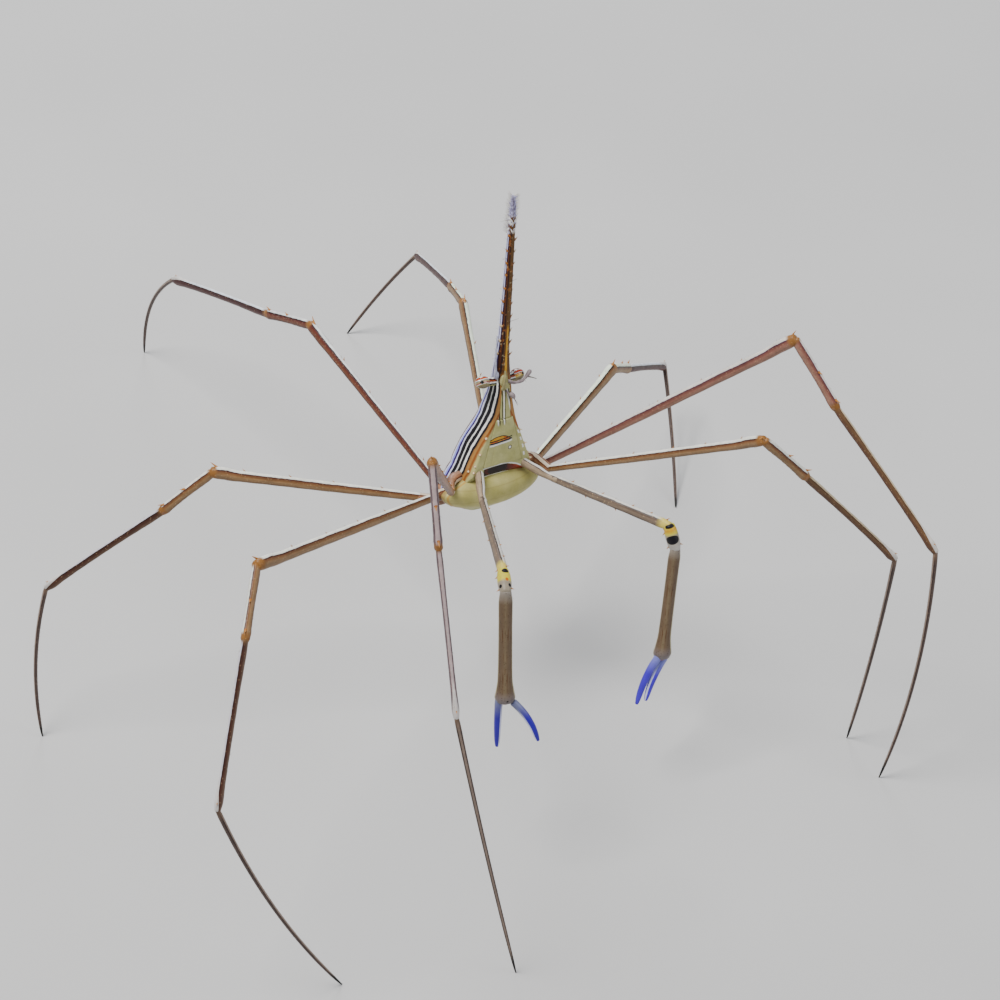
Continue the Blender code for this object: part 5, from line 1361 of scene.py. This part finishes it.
# ------------------------------------------------------------------ claws
def build_claw(side):
    label = "claw_%s_" % side
    s = 1 if side == "right" else -1
    rng = np.random.default_rng(70 + s)
    ways = [direction(*w) for w in CLAW_STANCE[side]]
    joints = [on_body([s * CLAW_BASE[0], CLAW_BASE[1], CLAW_BASE[2]])]
    for way, length in zip(ways[:5], CLAW_LENGTHS):
        joints.append(joints[-1] + way * length)
    base, hip, elbow, wrist, grip, tip = joints
    r_ischium, r_merus, r_carpus, r_palm = CLAW_RADII
    d1 = unit(np.array([0, 0, 1.0]) - ways[1] * ways[1][2])
    s1 = np.cross(ways[1], d1)

    p = Piece(label + "merus_shell", 8, 40)
    inside = on_body([s * (CLAW_BASE[0] - 0.6), CLAW_BASE[1] + 0.3, CLAW_BASE[2] + 1.6])
    root, girth = through([inside, base, base + (hip - base) * 0.5, hip, hip + ways[1] * 1.4],
                          (0.66, 0.66, 0.60, 0.53, 0.52), 40)
    ripple = 0.04 * np.sin(np.linspace(0, 14, 40))
    p.tube(root, girth + ripple, d1, 20, 4, (0.81, 0.90, 0.99, 0.995), line=marking_line(ways[0], 52.0, ASIDE if side == "right" else ABOVE))
    count = 90
    t = np.linspace(0.04, 1, count)
    radii = r_merus * curve([(0, 0.80), (0.08, 0.80), (0.25, 0.88), (0.5, 0.96), (0.75, 1.0), (0.92, 1.06), (1.0, 0.90)], t)
    path = hip + (elbow - hip) * t[:, None]
    angular = lambda a, ang: 0.05 * np.cos(3 * ang) + 0.02 * np.sin(a * 30 + 2 * ang)
    line1 = marking_line(ways[1], 52.0, ASIDE if side == "right" else ABOVE)
    p.tube(path, radii, d1, 26, 0, (0.01, 0.01, 0.79, 0.99), domes=(0.4, 0.5), bumps=angular, line=line1)
    edge = marking_line(ways[1], 78.0, ASIDE if side == "right" else ABOVE)
    for share, k in ((0.16, 1), (0.30, -1), (0.42, 1), (0.56, -1), (0.68, 1), (0.84, 1), (0.97, -1), (0.97, 1)):
        i = int(share * (count - 1))
        out = unit(edge * 0.9 * k + d1 * 0.25)
        p.spine(path[i] + out * radii[i] * 0.90, out + ways[1] * 0.8, 0.44 + 0.2 * (share > 0.9), 0.12, 1)
    for i in range(22):
        k = rng.integers(4, count - 3)
        a = rng.uniform(0, 2 * math.pi)
        out = d1 * math.cos(a) + s1 * math.sin(a)
        p.hair(path[k] + out * radii[k] * 0.96, out + ways[1] * 0.9, rng.uniform(0.2, 0.4), 0.02, 3)
    p.finish([ARM, SPINE, JOINT, SETA, ARM_ROOT], [label + "merus"])

    p = Piece(label + "carpus_shell", 8, 30)
    t = np.linspace(0, 1, 46)
    radii = r_carpus * curve([(0, 0.90), (0.25, 1.06), (0.5, 1.10), (0.78, 1.04), (1.0, 0.86)], t)
    path = elbow + (wrist - elbow) * t[:, None]
    dc = unit(VIEW - ways[2] * np.dot(VIEW, ways[2]))
    sc = np.cross(ways[2], dc)
    p.tube(path, radii, dc, 28, 0, domes=(0.5, 0.5), line=dc)
    for k, share in ((1, 0.25), (-1, 0.85), (1, 0.85)):
        i = int(share * 45)
        p.spine(path[i] + sc * k * radii[i] * 0.9, sc * k + ways[2] * 0.6, 0.5, 0.13, 1)
    p.finish([CLAW_CARPUS[side], SPINE], [label + "carpus"])

    # palm, flared at the fingers, with the fixed finger
    hinge = direction(*CLAW_HINGE[side])
    hinge = unit(hinge - ways[3] * np.dot(hinge, ways[3]))
    flat = np.cross(ways[3], hinge)
    p = Piece(label + "palm_shell", 8, 40)
    t = np.linspace(0, 1, 110)
    radii = r_palm * curve(PALM_PROFILE, t)
    path = wrist + (grip - wrist) * t[:, None]
    front = unit(VIEW - ways[3] * np.dot(VIEW, ways[3]))
    p.tube(path, radii, hinge, 30, 0, (0.01, 0.01, 0.79, 0.79), domes=(0.5, 0.4), squash=PALM_THICKNESS, line=front)
    bow = np.cross(np.cross(ways[3], ways[4]), ways[4]) * FINGER_BOW[side]
    root = grip - hinge * FINGER_APART
    reach = root + ways[4] * CLAW_LENGTHS[4]
    shares = (0.0, 0.25, 0.5, 0.75, 1.0)
    points = [root - ways[3] * 0.9] + [root + (reach - root) * v + bow * (4 * v * (1 - v)) for v in shares]
    path, radii = through(points, FINGER_RADII[:1] + FINGER_RADII, 70)
    radii = radii * curve([(0, 0.9), (0.15, 1.08), (0.6, 1.16), (0.9, 1.22), (1.0, 1.0)], np.linspace(0, 1, 70))
    p.tube(path, radii, hinge, 24, 3, (0.01, 0.80, 0.79, 0.99), domes=(0.5, 0.9), line=unit(hinge + 0.45 * front))
    for i in range(9):
        k = int((0.30 + 0.66 * i / 8) * 69)
        p.spine(path[k] + hinge * radii[k] * 0.86, hinge, 0.10, 0.06, 1, around=6)
    for i in range(22):
        k = rng.integers(4, 100)
        a = rng.uniform(0, 2 * math.pi)
        out = hinge * math.cos(a) + flat * math.sin(a) * PALM_THICKNESS
        v = k / 109
        p.hair(wrist + (grip - wrist) * v + out * 0.90 * r_palm, out + ways[3] * 0.9, rng.uniform(0.16, 0.3), 0.018, 2)
    # pink skin between the fingers and the dark pit of their hinge
    p.blob(grip + ways[3] * 0.22, np.array([hinge * 0.62, ways[3] * 0.42, flat * 0.50]), 4, None, 12, 18)
    p.blob(grip + hinge * 0.30 - ways[3] * 0.25 + front * (1.36 * r_palm * PALM_THICKNESS * 0.96),
           np.array([hinge * 0.20, ways[3] * 0.17, front * 0.09]), 5, None, 8, 12)
    p.finish([PALM, BLUE_TOOTH, SETA, FINGER[side], PINK_SKIN,
              plain_material(label + "pit", (0.01, 0.006, 0.005), (0.05, 0.03, 0.02))], [label + "palm"])

    # moving finger
    p = Piece(label + "finger_shell", 8, 20)
    bow = np.cross(np.cross(ways[3], ways[5]), ways[5]) * FINGER_BOW[side]
    root = grip + hinge * FINGER_APART
    reach = root + ways[5] * (CLAW_LENGTHS[4] - 0.4)
    points = [root + (reach - root) * v + bow * (4 * v * (1 - v)) for v in shares]
    path, radii = through(points, FINGER_RADII, 64)
    keep = np.linspace(0.07, 1.0, 64)
    index = keep * 63
    path = np.stack([np.interp(index, np.arange(64), path[:, i]) for i in range(3)], 1)
    radii = np.interp(index, np.arange(64), radii) * curve([(0, 0.95), (0.1, 1.08), (0.6, 1.16), (0.9, 1.22), (1.0, 1.0)], keep)
    p.tube(path, radii, -hinge, 24, 0, (0.01, 0.01, 0.79, 0.99), domes=(0.5, 0.9), line=unit(0.45 * front - hinge))
    for i in range(8):
        k = int((0.25 + 0.70 * i / 7) * 63)
        p.spine(path[k] - hinge * radii[k] * 0.86, -hinge, 0.10, 0.055, 1, around=6)
    p.finish([FINGER[side], BLUE_TOOTH], [label + "finger"])


BLUE_TOOTH = spine_material("claw_tooth", pigment(96, 90, 150), pigment(176, 176, 210))

build_carapace()
build_rostrum()
build_face()
build_abdomen()
build_head()
for number in (1, 2, 3, 4):
    for side in ("right", "left"):
        build_leg(number, side)
for side in ("right", "left"):
    build_claw(side)

# ------------------------------------------------------------------ floor, light, camera
bpy.ops.mesh.primitive_plane_add(size=4.0, location=(0, 0, -0.00002))
floor = bpy.context.active_object
floor.name = "floor"
fn = Nodes("floor_pale", 0.75, 0.2)
fn.colour(fn.ramp(fn.noise(14.0, 2.0), [(0.35, (0.52, 0.52, 0.52)), (0.65, (0.55, 0.55, 0.55))]))
floor.data.materials.append(fn.mat)

world = bpy.data.worlds.new("studio")
bpy.context.scene.world = world
world.use_nodes = True
world.node_tree.nodes["Background"].inputs[0].default_value = (0.92, 0.95, 1.0, 1.0)
world.node_tree.nodes["Background"].inputs[1].default_value = 0.38


def area(name, place, target, size, power, colour=(1, 1, 1)):
    light = bpy.data.lights.new(name, "AREA")
    light.shape = "DISK"
    light.size = size
    light.energy = power
    light.color = colour
    obj = bpy.data.objects.new(name, light)
    obj.location = place
    way = Vector(target) - Vector(place)
    obj.rotation_euler = way.to_track_quat("-Z", "Y").to_euler()
    bpy.context.scene.collection.objects.link(obj)


area("key", (-0.25, 0.10, 0.75), (0, 0, 0.03), 0.35, 8.0, (1.0, 0.98, 0.95))
area("fill", (0.45, -0.55, 0.45), (0, 0, 0.03), 0.50, 2.2, (0.95, 0.97, 1.0))
area("rim", (0.35, 0.60, 0.40), (0, 0, 0.03), 0.30, 2.6, (0.95, 0.97, 1.0))

camera = bpy.data.cameras.new("camera")
camera.lens = 136.8
camera.sensor_width = 36.0
camera.clip_start = 0.01
camera.clip_end = 20.0
cam = bpy.data.objects.new("camera", camera)
psi, down = math.radians(35.0), math.radians(42.0)
look = Vector((math.sin(psi) * math.cos(down), math.cos(psi) * math.cos(down), -math.sin(down)))
cam.location = Vector((-220.6 - ORIGIN_X, -318.0 - ORIGIN_Y, 378.7)) * MM
cam.rotation_euler = look.to_track_quat("-Z", "Y").to_euler()
bpy.context.scene.collection.objects.link(cam)
bpy.context.scene.camera = cam
